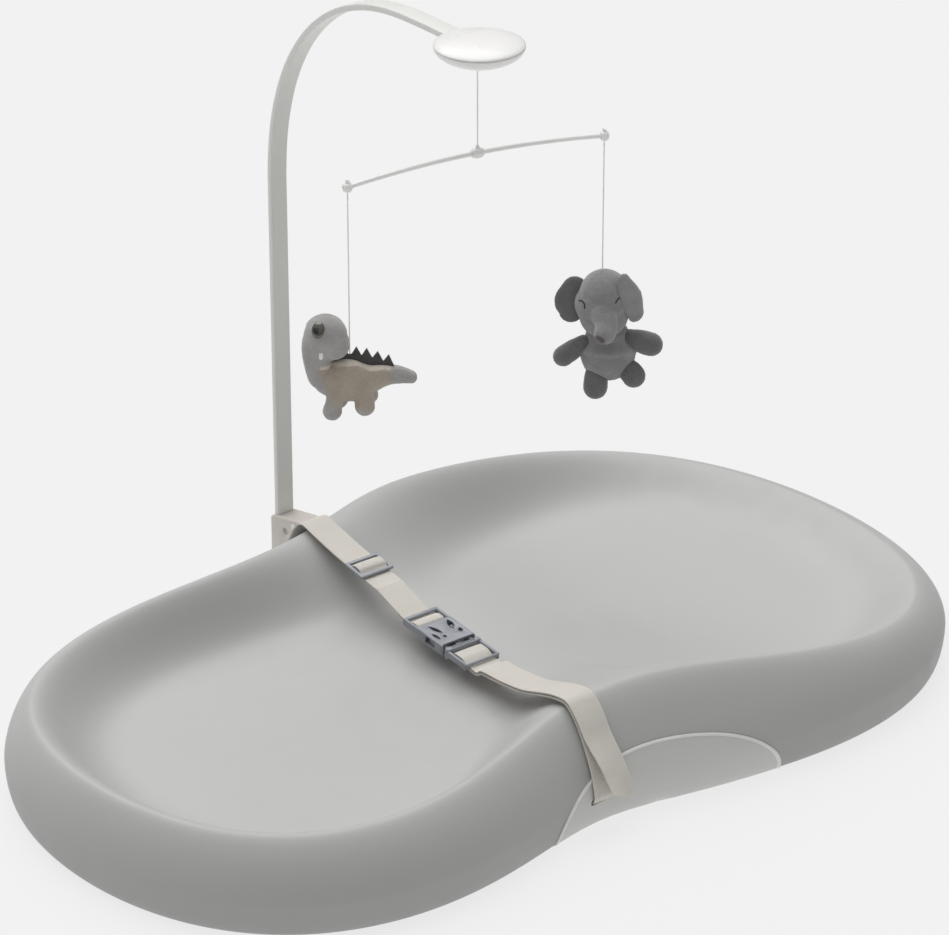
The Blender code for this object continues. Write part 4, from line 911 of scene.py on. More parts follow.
def build_buckle():
    w, t = BUCKLE_HALF_WIDTH, BUCKLE_HALF_THICKNESS
    female = object_from("buckle_socket_half", rounded_box((-w, 0.0, -t), (w, 0.033, t), 0.0013, 4))
    rail = 0.0024
    extras = []
    for sign in (-1, 1):
        near, far = sorted((sign * (w - rail), sign * w))
        extras.append(rounded_box((near, 0.029, -0.0022), (far, 0.0500, 0.0039), 0.0008, 3))
    extras.append(rounded_box((-w + 0.001, 0.0376, -BAR_HALF), (w - 0.001, 0.0415, BAR_HALF), 0.0005, 3))
    extras.append(rounded_box((-w + 0.0006, 0.0466, 0.0014), (w - 0.0006, 0.0502, 0.0040), 0.0010, 3))
    cut(female, extras, "UNION")
    hollows = [rounded_box((-w + 0.0018, -0.002, -0.0028), (w - 0.0018, 0.028, 0.0028), 0.0006, 2)]
    hollows.append(rounded_box((-w - 0.002, 0.0095, -0.0030), (w + 0.002, 0.0215, 0.0030), 0.0012, 3))
    hollows += [lens(-0.0058, 0.0222, 0.0150, 0.0038, 15), lens(0.0088, 0.0225, 0.0140, 0.0052, -16)]
    hollows += [lens(-0.0112, 0.0138, 0.0105, 0.0034, 4), lens(-0.0052, 0.0110, 0.0042, 0.0028, 0)]
    hollows += [lens(0.0102, 0.0118, 0.0072, 0.0038, -25)]
    hollows += [rounded_box((-w + 0.0014, -0.002, 0.0), (w - 0.0014, 0.0020, t + 0.001), 0.0)]
    cut(female, hollows)
    soften(female, 0.00022, 2)
    female.data.transform(BUCKLE_FRAME)
    place_piece(female, "pad", BUCKLE, ["buckle_female"], 35)

    male = object_from("buckle_plug_half", rounded_box((-w, -0.0072, -t), (w, -0.0024, t), 0.0012, 4))
    extras = []
    for sign in (-1, 1):
        near, far = sorted((sign * (w - rail), sign * w))
        extras.append(rounded_box((near, -0.0296, -0.0022), (far, -0.0055, 0.0034), 0.0010, 4))
        arm = [(0.0105, -0.004), (0.0128, -0.004), (0.0126, 0.011), (0.0139, 0.0118), (0.0141, 0.0150)]
        arm += [(0.0138, 0.0185), (0.0126, 0.0222), (0.0105, 0.0245), (0.0092, 0.0243), (0.0096, 0.0200)]
        arm += [(0.0102, 0.0120)]
        extras.append(skin_bmesh([[(sign * x, y, z) for x, y in arm] for z in (-0.0022, 0.0022)]))
    extras.append(rounded_box((-0.0022, -0.004, -0.0020), (0.0022, 0.021, 0.0020), 0.0005, 3))
    extras.append(rounded_box((-w + 0.001, -0.0180, -BAR_HALF), (w - 0.001, -0.0120, BAR_HALF), 0.0005, 3))
    extras.append(rounded_box((-w + 0.0004, -0.0302, 0.0010), (w - 0.0004, -0.0276, 0.0034), 0.0011, 4))
    cut(male, extras, "UNION")
    grooves = [rounded_box((-0.011, y, t - 0.0004), (0.011, y + 0.0007, t + 0.001), 0.0)
               for y in (-0.0058, -0.0044)]
    cut(male, grooves)
    soften(male, 0.0002, 2)
    male.data.transform(BUCKLE_FRAME)
    place_piece(male, "buckle_plug", BUCKLE, ["buckle_male"], 35)


def build_tri_glide():
    half_l, half_w = GLIDE_LENGTH / 2, GLIDE_WIDTH / 2
    bottom = WEBBING_THICKNESS / 2 + 0.0004
    low, high = (-half_w, -half_l, bottom), (half_w, half_l, bottom + 0.0026)
    glide = object_from("strap_glide", rounded_box(low, high, 0.0011, 4))
    inner = half_w - 0.0026
    window = half_l - 0.0032
    holes = [rounded_box((-inner, low, -0.01), (inner, high, 0.02), 0.0)
             for low, high in ((-window, -0.0022), (0.0022, window))]
    cut(glide, holes)
    soften(glide, 0.0004, 3)
    glide.data.transform(GLIDE_FRAME)
    place_piece(glide, "tri_glide", GLIDE, ["tri_glide"], 35)


# ---------------------------------------------------------------- arch, socket and housing


def arch_route():
    half_y, half_z = ARCH_Y - ARCH_BEND_Y, ARCH_TOP_Z - ARCH_BEND_Z
    points = [(ARCH_Y, ARCH_FOOT_Z), (ARCH_Y, 0.12), (ARCH_Y, 0.20), (ARCH_Y, 0.28)]
    steps = 34
    power = 2 / ARCH_FULLNESS
    for i in range(steps + 1):
        a = math.pi / 2 * i / steps
        across = math.cos(a) ** power if i < steps else 0.0
        points.append((ARCH_BEND_Y + half_y * across, ARCH_BEND_Z + half_z * math.sin(a) ** power))
    return points + [(0.055, 0.54255), (0.035, 0.54195), (0.0145, 0.5414)]


def build_arch():
    path, _length = smooth_path(arch_route(), 0.0035)
    half_w, half_t, corner = ARCH_WIDTH / 2, ARCH_THICKNESS / 2, 0.0011
    section = []
    for sx, sy, first in ((1, 1, 0), (-1, 1, 90), (-1, -1, 180), (1, -1, 270)):
        for k in range(5):
            a = math.radians(first + 90 * k / 4)
            x = sx * (half_w - corner) + corner * math.cos(a)
            section.append((x, sy * (half_t - corner) + corner * math.sin(a)))
    rings = []
    for i, point in enumerate(path):
        ahead = path[min(i + 1, len(path) - 1)] - path[max(i - 1, 0)]
        normal = Vector((-ahead.y, ahead.x)).normalized()
        rings.append([(x, point.x + normal.x * t, point.y + normal.y * t) for x, t in section])
    strip = object_from("arch", skin_bmesh(rings))
    place_piece(strip, "arch", STRIP, ["arch_strip"], 35)


def build_socket():
    outline = [(0.1800, 0.0140), (0.1800, 0.0775), (0.2125, 0.0762), (SOCKET_REAR_Y - 0.002, 0.0700)]
    outline += [(SOCKET_REAR_Y, 0.0678), (SOCKET_REAR_Y, 0.0300), (0.2380, 0.0200), (0.2200, 0.0140)]
    x = SOCKET_HALF_WIDTH
    socket = object_from("arch_socket", skin_bmesh([[(sx, y, z) for y, z in outline] for sx in (-x, x)]))
    soften(socket, 0.0016, 4, 20)
    cut(socket, [skin_bmesh(pad_rings(144, PLATE_PROUD + 0.0003, 0.01))])
    hole_y, hole_x = ARCH_THICKNESS / 2 + 0.0003, ARCH_WIDTH / 2 + 0.0003
    low, high = (-hole_x, ARCH_Y - hole_y, ARCH_FOOT_Z - 0.0003), (hole_x, ARCH_Y + hole_y, 0.09)

    def across(spot, first, last, radius, sides=32, bevel=0.0):
        """A round bar at (y, z), from first to last as measured inwards from the socket's left face."""
        return round_bar((-x + first, *spot), (-x + last, *spot), radius, sides, bevel)

    tools = [rounded_box(low, high, 0.0010), across(BUTTON_AT, -0.002, 0.0052, 0.0031)]
    tools.append(across(SOCKET_SCREW_AT, -0.002, 0.0102, 0.0024))
    tools.append(across(SOCKET_SCREW_AT, -0.002, 0.0008, 0.0032))
    cut(socket, tools)
    soften(socket, 0.0003, 2, 40)
    place_piece(socket, "pad", BEIGE, ["pole_socket"], 35)
    button = object_from("arch_lock_button", across(BUTTON_AT, -0.0012, 0.0034, 0.0027, 40, 0.0006))
    cut(button, [across(BUTTON_AT, -0.0020, -0.0008, 0.0017)])
    soften(button, 0.0002, 2, 40)
    place_piece(button, "lock_button", WHITE, ["lock_button"], 35)
    screw = object_from("arch_socket_screw", across(SOCKET_SCREW_AT, 0.0006, 0.0098, 0.0020, 32, 0.0004))
    y, z = SOCKET_SCREW_AT
    cross = [rounded_box((-x - 0.001, y - a, z - b), (-x + 0.0020, y + a, z + b), 0.0)
             for a, b in ((0.0013, 0.0003), (0.0003, 0.0013))]
    cut(screw, cross)
    place_piece(screw, "pad", STEEL, ["socket_screw"], 35)


def dome(radius, height, first, last, steps, fullness=1.0):
    angles = [math.radians(first + (last - first) * i / steps) for i in range(steps + 1)]
    points = []
    for a in angles:
        c, s = max(math.cos(a), 0.0) ** fullness, math.sin(a)
        points.append((radius * c if abs(a - math.pi / 2) > 1e-6 else 0.0, height * s))
    return points


def build_housing():
    outer = dome(HOUSING_RADIUS, HOUSING_RISE, 90, 3, 26)
    lip = [(HOUSING_RADIUS - 0.0002, 0.0003), (HOUSING_RADIUS - 0.0007, 0.0)]
    inner = dome(HOUSING_RADIUS - HOUSING_SHELL, HOUSING_RISE - HOUSING_SHELL, 0, 90, 16)
    notch_x = ARCH_WIDTH / 2 + 0.0004

    def notch():
        return rounded_box((-notch_x, 0.0135, HOUSING_Z - 0.0043), (notch_x, 0.0450, HOUSING_Z + 0.0021), 0.0)

    top = object_from("housing_cap", lathe(outer + lip + inner, 96, (0, 0, HOUSING_Z)))
    bosses = [round_bar((0, y, HOUSING_Z + foot), (0, y, HOUSING_Z + 0.0029), 0.0034, 32)
              for y, foot in ((BOSS_Y, 0.0024), (-BOSS_Y, 0.0004))]
    cut(top, bosses, "UNION")
    cut(top, [notch()])
    place_piece(top, "arch", WHITE, ["housing_top"], 35)

    outer = dome(HOUSING_RADIUS, -HOUSING_DROP, 3, 90, 26)
    lip = [(HOUSING_RADIUS - 0.0007, -0.0003), (HOUSING_RADIUS - 0.0002, -0.0006)]
    inner = dome(HOUSING_RADIUS - HOUSING_SHELL, -(HOUSING_DROP - HOUSING_SHELL), 90, 0, 16)
    base = object_from("housing_base", lathe(inner + lip + outer, 96, (0, 0, HOUSING_Z)))
    posts = [round_bar((0, y, HOUSING_Z - 0.0094), (0, y, HOUSING_Z + top_z), 0.0034, 32)
             for y, top_z in ((BOSS_Y, -0.0046), (-BOSS_Y, -0.0006))]
    cut(base, posts, "UNION")
    holes = [round_bar((0, MOBILE_Y, HOUSING_Z - 0.02), (0, MOBILE_Y, HOUSING_Z - 0.004), 0.0026, 40)]
    for y in (BOSS_Y, -BOSS_Y):
        holes.append(round_bar((0, y, HOUSING_Z - 0.02), (0, y, HOUSING_Z - 0.0084), 0.0026, 32))
        holes.append(round_bar((0, y, HOUSING_Z - 0.012), (0, y, HOUSING_Z + 0.002), 0.0013, 24))
    holes.append(notch())
    cut(base, holes)
    place_piece(base, "arch", WHITE, ["housing_bottom"], 35)

    for index, y in ((1, BOSS_Y), (2, -BOSS_Y)):
        profile = [(0.0, 0.0020), (0.0010, 0.0016), (0.0010, -0.0087), (0.0021, -0.0088), (0.0022, -0.0092)]
        profile += [(0.0021, -0.0097), (0.0016, -0.0100), (0.0, -0.0100)]
        screw = object_from(f"housing_fixing_{index}", lathe(profile, 40, (0, y, HOUSING_Z)))
        cross = [rounded_box((-a, y - b, HOUSING_Z - 0.012), (a, y + b, HOUSING_Z - 0.0090), 0.0)
                 for a, b in ((0.0012, 0.00025), (0.00025, 0.0012))]
        cut(screw, cross)
        place_piece(screw, "arch", STEEL, [f"housing_screw_{index}"], 35)

    top_z = -HOUSING_DROP + HOUSING_SHELL + 0.0006 + 0.0014
    neck = -HOUSING_DROP - 0.0016
    pin = [(0.0, top_z), (0.0038, top_z), (0.0042, top_z - 0.0004), (0.0042, top_z - 0.0011)]
    pin += [(0.0038, top_z - 0.0014), (0.0020, top_z - 0.0014), (0.0019, neck + 0.0008)]
    for i in range(17):
        a = math.radians(42 + 138 * i / 16)
        pin.append((0.0028 * math.sin(a) if i < 16 else 0.0, neck - 0.0020 + 0.0028 * math.cos(a)))
    eyelet = object_from("mobile_swivel", lathe(pin, 48, (0, MOBILE_Y, HOUSING_Z)))
    place_piece(eyelet, "swivel", WHITE, ["swivel_eyelet"], 35)


# ---------------------------------------------------------------- mobile


def section_ring(centre, along, wide, deep, sides):
    """An oval ring of points, square to a direction; deep is measured towards Y."""
    side = along.cross(Vector((0, 1, 0))).normalized()
    depth = side.cross(along).normalized()
    turns = [2 * math.pi * k / sides for k in range(sides)]
    return [tuple(centre + side * wide * math.cos(t) + depth * deep * math.sin(t)) for t in turns]


def tube_through(points, radius, sides=20):
    """A round tube with domed ends through points."""
    spots = [Vector(p) for p in points]
    rings = []
    first = (spots[1] - spots[0]).normalized()
    last = (spots[-1] - spots[-2]).normalized()

    def ring(centre, along, r):
        rings.append(section_ring(centre, along, r, r, sides))

    rings.append([tuple(spots[0] - first * radius * 0.7)])
    for share in (0.35, 0.75, 0.95):
        ring(spots[0] - first * radius * 0.7 * math.sqrt(1 - share * share), first, radius * share)
    for i, spot in enumerate(spots):
        ahead = (spots[min(i + 1, len(spots) - 1)] - spots[max(i - 1, 0)]).normalized()
        ring(spot, ahead, radius)
    for share in (0.95, 0.75, 0.35):
        ring(spots[-1] + last * radius * 0.7 * math.sqrt(1 - share * share), last, radius * share)
    rings.append([tuple(spots[-1] + last * radius * 0.7)])
    return skin_bmesh(rings)


def build_mobile_bar():
    reach = BAR_HALF_LENGTH - 0.0008
    points = [(x, 0.0, bar_height(x)) for x in np.linspace(-reach, reach, 61)]
    bar = object_from("mobile_rod", tube_through(points, BAR_RADIUS), BAR_FRAME)
    place_piece(bar, "mobile", WHITE, ["mobile_bar"], 50)
    for name, x, stretch, node in (("rod_bead_centre", 0.0, 1.45, "centre_bead"),
                                   ("rod_bead_dinosaur", -HANG_X, 0.95, "dino_bead"),
                                   ("rod_bead_elephant", HANG_X, 0.95, "elephant_bead")):
        profile = []
        for i in range(19):
            a = math.pi * i / 18
            wide = BEAD_RADIUS * math.sin(a) ** 0.9 if 0 < i < 18 else 0.0
            profile.append((wide, BEAD_RADIUS * math.cos(a)))
        bm = lathe(profile, 36)
        bmesh.ops.transform(bm, matrix=Matrix.Diagonal((stretch, 1.0, 1.0, 1.0)), verts=bm.verts)
        bead = object_from(name, bm, BAR_FRAME @ Matrix.Translation((x, 0, bar_height(x))))
        bores = [(p, 0.0, bar_height(p)) for p in np.linspace(x - 0.012, x + 0.012, 7)]
        bore = tube_through(bores, BAR_RADIUS + 0.0003, 24)
        bmesh.ops.transform(bore, matrix=BAR_FRAME, verts=bore.verts)
        cut(bead, [bore])
        soften(bead, 0.0003, 2, 40)
        place_piece(bead, "mobile", WHITE, [node], 40)


def knot(name, centre, size):
    """A small overhand knot: one strand turned about itself."""
    bm = bmesh.new()
    points = []
    for i in range(49):
        t = 2 * math.pi * i / 48
        r = 1 + 0.42 * math.cos(3 * t)
        points.append(Vector((r * math.cos(2 * t), r * math.sin(2 * t), 0.75 * math.sin(3 * t))) * size)
    sides = 8
    rows = []
    for i in range(48):
        ahead = (points[(i + 1) % 48] - points[(i - 1) % 48]).normalized()
        side = ahead.cross(Vector((0, 0, 1))).normalized()
        up = side.cross(ahead)
        rows.append([bm.verts.new(points[i] + (side * math.cos(a) + up * math.sin(a)) * size * 0.55)
                     for a in (2 * math.pi * k / sides for k in range(sides))])
    for i in range(48):
        row, following = rows[i], rows[(i + 1) % 48]
        for k in range(sides):
            j = (k + 1) % sides
            bm.faces.new((row[k], row[j], following[j], following[k]))
    piece = object_from(name, bm, Matrix.Translation(centre))
    place_piece(piece, "mobile", STRING, (), 60)


def build_knots():
    knot("knot_centre", on_bar(0, BAR_Z + BEAD_RADIUS + 0.0010), 0.0008)
    end_z = bar_height(HANG_X) + BEAD_RADIUS + 0.0008
    knot("knot_dinosaur", on_bar(-HANG_X, end_z), 0.0009)
    knot("knot_elephant", on_bar(HANG_X, end_z), 0.0009)


# ---------------------------------------------------------------- toys


def limb(stations, sides=28, cap=6, fine=3):
    """A stuffed form: round sections along a smooth path of (x, y, z, radius, depth radius) stations."""
    table = np.array(stations, float)
    at = np.linspace(0, len(table) - 1, (len(table) - 1) * fine + 1)
    spots = []
    for value in at:
        i = min(int(value), len(table) - 2)
        t = value - i
        p0, p1 = table[max(i - 1, 0)], table[i]
        p2, p3 = table[i + 1], table[min(i + 2, len(table) - 1)]
        spots.append(0.5 * (2 * p1 + (p2 - p0) * t + (2 * p0 - 5 * p1 + 4 * p2 - p3) * t**2
                            + (3 * p1 - p0 - 3 * p2 + p3) * t**3))
    centres = [Vector(tuple(s[:3])) for s in spots]
    first = (centres[1] - centres[0]).normalized()
    last = (centres[-1] - centres[-2]).normalized()

    def ring(centre, along, share):
        rings.append(section_ring(centre, along, wide * share, deep * share, sides))

    wide, deep = spots[0][3], spots[0][4]
    rings = [[tuple(centres[0] - first * wide)]]
    for i in range(1, cap):
        a = math.pi / 2 * i / cap
        ring(centres[0] - first * wide * math.cos(a), first, math.sin(a))
    for i, spot in enumerate(spots):
        ahead = (centres[min(i + 1, len(centres) - 1)] - centres[max(i - 1, 0)]).normalized()
        wide, deep = spot[3], spot[4]
        ring(centres[i], ahead, 1.0)
    wide, deep = spots[-1][3], spots[-1][4]
    for i in range(cap - 1, 0, -1):
        a = math.pi / 2 * i / cap
        ring(centres[-1] + last * wide * math.cos(a), last, math.sin(a))
    rings.append([tuple(centres[-1] + last * wide)])
    return skin_bmesh(rings)


def stuffed(name, forms, voxel=0.0010, smooth=6, pile=0.00022, seams=()):
    """Forms sewn into one cloth: fused, relaxed at the joins, then roughened like short pile."""
    joined = bmesh.new()
    for form in forms:
        mesh = bpy.data.meshes.new("form")
        form.to_mesh(mesh)
        form.free()
        joined.from_mesh(mesh)
        bpy.data.meshes.remove(mesh)
    obj = object_from(name, joined)
    remesh = obj.modifiers.new("remesh", "REMESH")
    remesh.mode = "VOXEL"
    remesh.voxel_size = voxel
    relax = obj.modifiers.new("relax", "SMOOTH")
    relax.factor = 0.5
    relax.iterations = smooth
    apply_modifiers(obj)
    mesh = obj.data
    count = len(mesh.vertices)
    normals = np.zeros(count * 3)
    mesh.vertices.foreach_get("normal", normals)
    normals = normals.reshape(-1, 3)
    for vertex, normal in zip(mesh.vertices, normals):
        spot = vertex.co
        lift = noise.noise(spot * 900) * pile + noise.noise(spot * 260) * pile * 0.8
        for depth, width, distance in seams:
            gap = distance(spot)
            if gap < width * 3:
                lift -= depth * math.exp(-((gap / width) ** 2))
        vertex.co = spot + Vector(normal) * lift
    return obj


def paint(obj, **fields):
    """Store one number per vertex for the material, from functions of the local position."""
    for name, value_of in fields.items():
        attribute = obj.data.attributes.new(name, "FLOAT", "POINT")
        attribute.data.foreach_set("value", [value_of(v.co) for v in obj.data.vertices])


def ramp(value, low, high):
    t = min(1.0, max(0.0, (value - low) / (high - low)))
    return t * t * (3 - 2 * t)


def finish_toy(obj, matrix, body, material, nodes):
    obj.data.transform(matrix)
    place_piece(obj, body, material, nodes, 0)
    obj.data.shade_smooth()
    return obj


DINO_BODY = [
    (-0.0140, 0.0, -0.0285, 0.0140, 0.0125),
    (-0.0040, 0.0, -0.0295, 0.0172, 0.0150),
    (0.0060, 0.0, -0.0295, 0.0155, 0.0140),
    (0.0150, 0.0, -0.0285, 0.0115, 0.0110),
    (0.0255, 0.0, -0.0260, 0.0085, 0.0082),
    (0.0365, 0.0, -0.0262, 0.0066, 0.0064),
    (0.0445, 0.0, -0.0280, 0.0050, 0.0050),
]
DINO_RIDGE_X = (-0.0240, -0.0140, -0.0040, 0.0060, 0.0150, 0.0255, 0.0365)
DINO_RIDGE_Z = (-0.0150, -0.0142, -0.0126, -0.0141, -0.0170, -0.0176, -0.0197)
DINO_HEAD = [
    (-0.0200, 0.0, -0.0260, 0.0114, 0.0110),
    (-0.0235, 0.0, -0.0140, 0.0108, 0.0104),
    (-0.0226, 0.0, -0.0032, 0.0130, 0.0126),
    (-0.0176, 0.0, 0.0056, 0.0163, 0.0150),
]
DINO_CHEEK = [
    (-0.0155, 0.0, 0.0020, 0.0136, 0.0130),
    (-0.0118, 0.0, -0.0012, 0.0122, 0.0116),
]
DINO_LEGS = (
    [(-0.0100, -0.0075, -0.0355, 0.0072, 0.0070), (-0.0115, -0.0080, -0.0440, 0.0062, 0.0062),
     (-0.0130, -0.0090, -0.0512, 0.0073, 0.0068)],
    [(-0.0085, 0.0075, -0.0355, 0.0072, 0.0070), (-0.0085, 0.0080, -0.0432, 0.0062, 0.0062),
     (-0.0088, 0.0085, -0.0500, 0.0072, 0.0068)],
    [(0.0095, -0.0068, -0.0335, 0.0080, 0.0072), (0.0108, -0.0078, -0.0412, 0.0070, 0.0066),
     (0.0108, -0.0085, -0.0474, 0.0076, 0.0070)],
    [(0.0115, 0.0070, -0.0335, 0.0080, 0.0072), (0.0128, 0.0078, -0.0405, 0.0068, 0.0066),
     (0.0132, 0.0085, -0.0466, 0.0072, 0.0068)],
)


def dino_panel(spot):
    """The beige side panel: from the chest seam to the tail seam, below the back edge."""
    front = ramp(spot.x, -0.0245 + 0.45 * (-0.018 - spot.z), -0.0225 + 0.45 * (-0.018 - spot.z))
    back = 1 - ramp(spot.x, 0.0295, 0.0310)
    low = ramp(spot.z, -0.0520, -0.0450)
    return front * back * low


def dino_edge(spot):
    """The pale piping along the back, just under the felt."""
    ridge = float(np.interp(spot.x, DINO_RIDGE_X, DINO_RIDGE_Z))
    wave = 0.0005 * math.sin(spot.x * 300)
    on = ramp(spot.z, ridge - 0.0030 + wave, ridge - 0.0018 + wave)
    return on * ramp(spot.x, -0.0240, -0.0215) * (1 - ramp(spot.x, 0.0295, 0.0310))


def neck_panel(spot):
    """The side panel where it runs onto the foot of the neck."""
    return dino_panel(spot) * (1 - ramp(spot.z, -0.0172, -0.0160))


def neck_edge(spot):
    on = ramp(spot.z, -0.0182, -0.0172) * (1 - ramp(spot.z, -0.0158, -0.0150))
    return on * ramp(spot.x, -0.0225, -0.0205)


def build_dinosaur():
    middle = (0.0004, 0.0011, lambda p: abs(p.y))
    forms = [limb(DINO_BODY), *[limb(leg, 20, 5) for leg in DINO_LEGS]]
    body = stuffed("dinosaur_body", forms, seams=[middle])
    paint(body, panel=dino_panel, edge=dino_edge)
    finish_toy(body, DINO_FRAME, "dinosaur", DINO_PLUSH, ["dino_body"])
    middle = (0.0003, 0.0010, lambda p: abs(p.y))
    head = stuffed("dinosaur_head", [limb(DINO_HEAD), limb(DINO_CHEEK)], seams=[middle])
    paint(head, panel=neck_panel, edge=neck_edge)
    finish_toy(head, DINO_FRAME, "dinosaur", DINO_PLUSH, ["dino_head"])

    spikes = [(-0.0185, -0.0170), (-0.0180, -0.0098), (-0.0046, -0.0090), (-0.0026, -0.0062)]
    spikes += [(-0.0010, -0.0095), (0.0014, -0.0095), (0.0048, -0.0038), (0.0086, -0.0104)]
    spikes += [(0.0124, -0.0040), (0.0164, -0.0125)]
    spikes += [(0.0204, -0.0074), (0.0244, -0.0150), (0.0284, -0.0094), (0.0322, -0.0186), (0.0310, -0.0225)]
    spikes += [(0.0100, -0.0225)]
    faces = [[(x, y, z) for x, z in spikes] for y in (-0.0010, 0.0010)]
    felt = object_from("dinosaur_spikes", skin_bmesh(faces))
    soften(felt, 0.00045, 3, 30)
    for vertex in felt.data.vertices:
        lean = max(0.0, vertex.co.z + 0.016)
        vertex.co.y += lean * 0.10 * math.sin(vertex.co.x * 420) + 0.00006 * noise.noise(vertex.co * 1500)
    finish_toy(felt, DINO_FRAME, "dinosaur", FELT, ["dino_spikes"])

    ball = [(0.0, 1.0), *[(math.sin(a), math.cos(a)) for a in np.linspace(0.15, 2.99, 19)], (0.0, -1.0)]
    for side, name, node, rise, look_up in (
        (-1, "dinosaur_eye_near", "dino_eye_near", 0.0148, 0.55),
        (1, "dinosaur_eye_far", "dino_eye_far", 0.0118, 0.25),
    ):
        facing = Vector((-0.30, side * 0.78, look_up)).normalized()
        turn = facing.to_track_quat("Y", "Z").to_matrix().to_4x4()
        place = DINO_FRAME @ Matrix.Translation((-0.0224, side * 0.0108, rise)) @ turn
        eye = object_from(name, lathe(ball, 40), place @ Matrix.Diagonal((0.0050, 0.0024, 0.0062, 1.0)))
        place_piece(eye, "dinosaur", EYE_IRIS, [node], 60)
        spot = Matrix.Translation((side * -0.0004, 0.0007, -0.0006))
        shape = place @ spot @ Matrix.Diagonal((0.0031, 0.0020, 0.0042, 1.0))
        pupil = object_from(f"{name}_pupil", lathe(ball, 32), shape)
        place_piece(pupil, "dinosaur", EYE_PUPIL, (), 60)
    tag = rounded_box((-0.0016, -0.0030, -0.0028), (0.0014, 0.0030, 0.0028), 0.0010, 3,
                      DINO_FRAME @ Matrix.Translation((-0.0204, -0.0104, -0.0052)))
    place_piece(object_from("dinosaur_tooth", tag), "dinosaur", WHITE, (), 40)


# The toy hangs a little off its string
ELEPHANT_PLACE = ELEPHANT_FRAME @ Matrix.Translation((0.0028, 0.0, 0.0))
ELEPHANT_HEAD = [
    (-0.0010, 0.0, -0.0190, 0.0190, 0.0185),
    (-0.0022, 0.0, -0.0265, 0.0214, 0.0202),
    (-0.0014, -0.001, -0.0345, 0.0188, 0.0178),
]
ELEPHANT_TRUNK = [
    (-0.0030, -0.0150, -0.0270, 0.0094, 0.0086),
    (0.0000, -0.0225, -0.0340, 0.0088, 0.0080),
    (-0.0012, -0.0280, -0.0388, 0.0082, 0.0080),
]
ELEPHANT_BODY = [
    (0.0018, 0.002, -0.0565, 0.0170, 0.0155),
    (0.0022, 0.001, -0.0635, 0.0226, 0.0198),
    (0.0022, 0.000, -0.0680, 0.0208, 0.0186),
]
ELEPHANT_LIMBS = {
    "elephant_arm_left": ((-0.0160, -0.002, -0.0580), (-0.0314, -0.0060, -0.0676), 0.0070, 0.0080),
    "elephant_arm_right": ((0.0185, -0.002, -0.0545), (0.0342, -0.0040, -0.0588), 0.0082, 0.0092),
    "elephant_leg_left": ((-0.0064, -0.0050, -0.0790), (-0.0072, -0.0120, -0.0905), 0.0090, 0.0092),
    "elephant_leg_right": ((0.0155, -0.0050, -0.0760), (0.0214, -0.0110, -0.0815), 0.0084, 0.0092),
}
ELEPHANT_EARS = {
    "elephant_ear_left": [
        (-0.0232, 0.0040, -0.0160, 0.0098, 0.0034),
        (-0.0268, 0.0040, -0.0265, 0.0120, 0.0038),
        (-0.0258, 0.0040, -0.0352, 0.0092, 0.0034),
    ],
    "elephant_ear_right": [
        (0.0114, -0.0085, -0.0022, 0.0054, 0.0028),
        (0.0180, -0.0090, -0.0185, 0.0100, 0.0034),
        (0.0232, -0.0085, -0.0325, 0.0072, 0.0030),
    ],
}
EAR_HINGE = Matrix.Translation((0.0180, -0.0085, 0))
EAR_FOLD = EAR_HINGE @ Matrix.Rotation(math.radians(33), 4, "Z") @ EAR_HINGE.inverted()


def stitched_arc(name, spots, radius, cloth):
    """A short line of dark embroidery laid on the elephant's face, near the given local points."""
    surface = BVHTree.FromPolygons([v.co for v in cloth.vertices], [p.vertices for p in cloth.polygons])
    path, _length = smooth_path(spots, 0.0005)
    path = [surface.find_nearest(ELEPHANT_PLACE @ point)[0] for point in path]
    piece = object_from(name, tube_through(path, radius, 10))
    return place_piece(piece, "elephant", THREAD, (), 60)


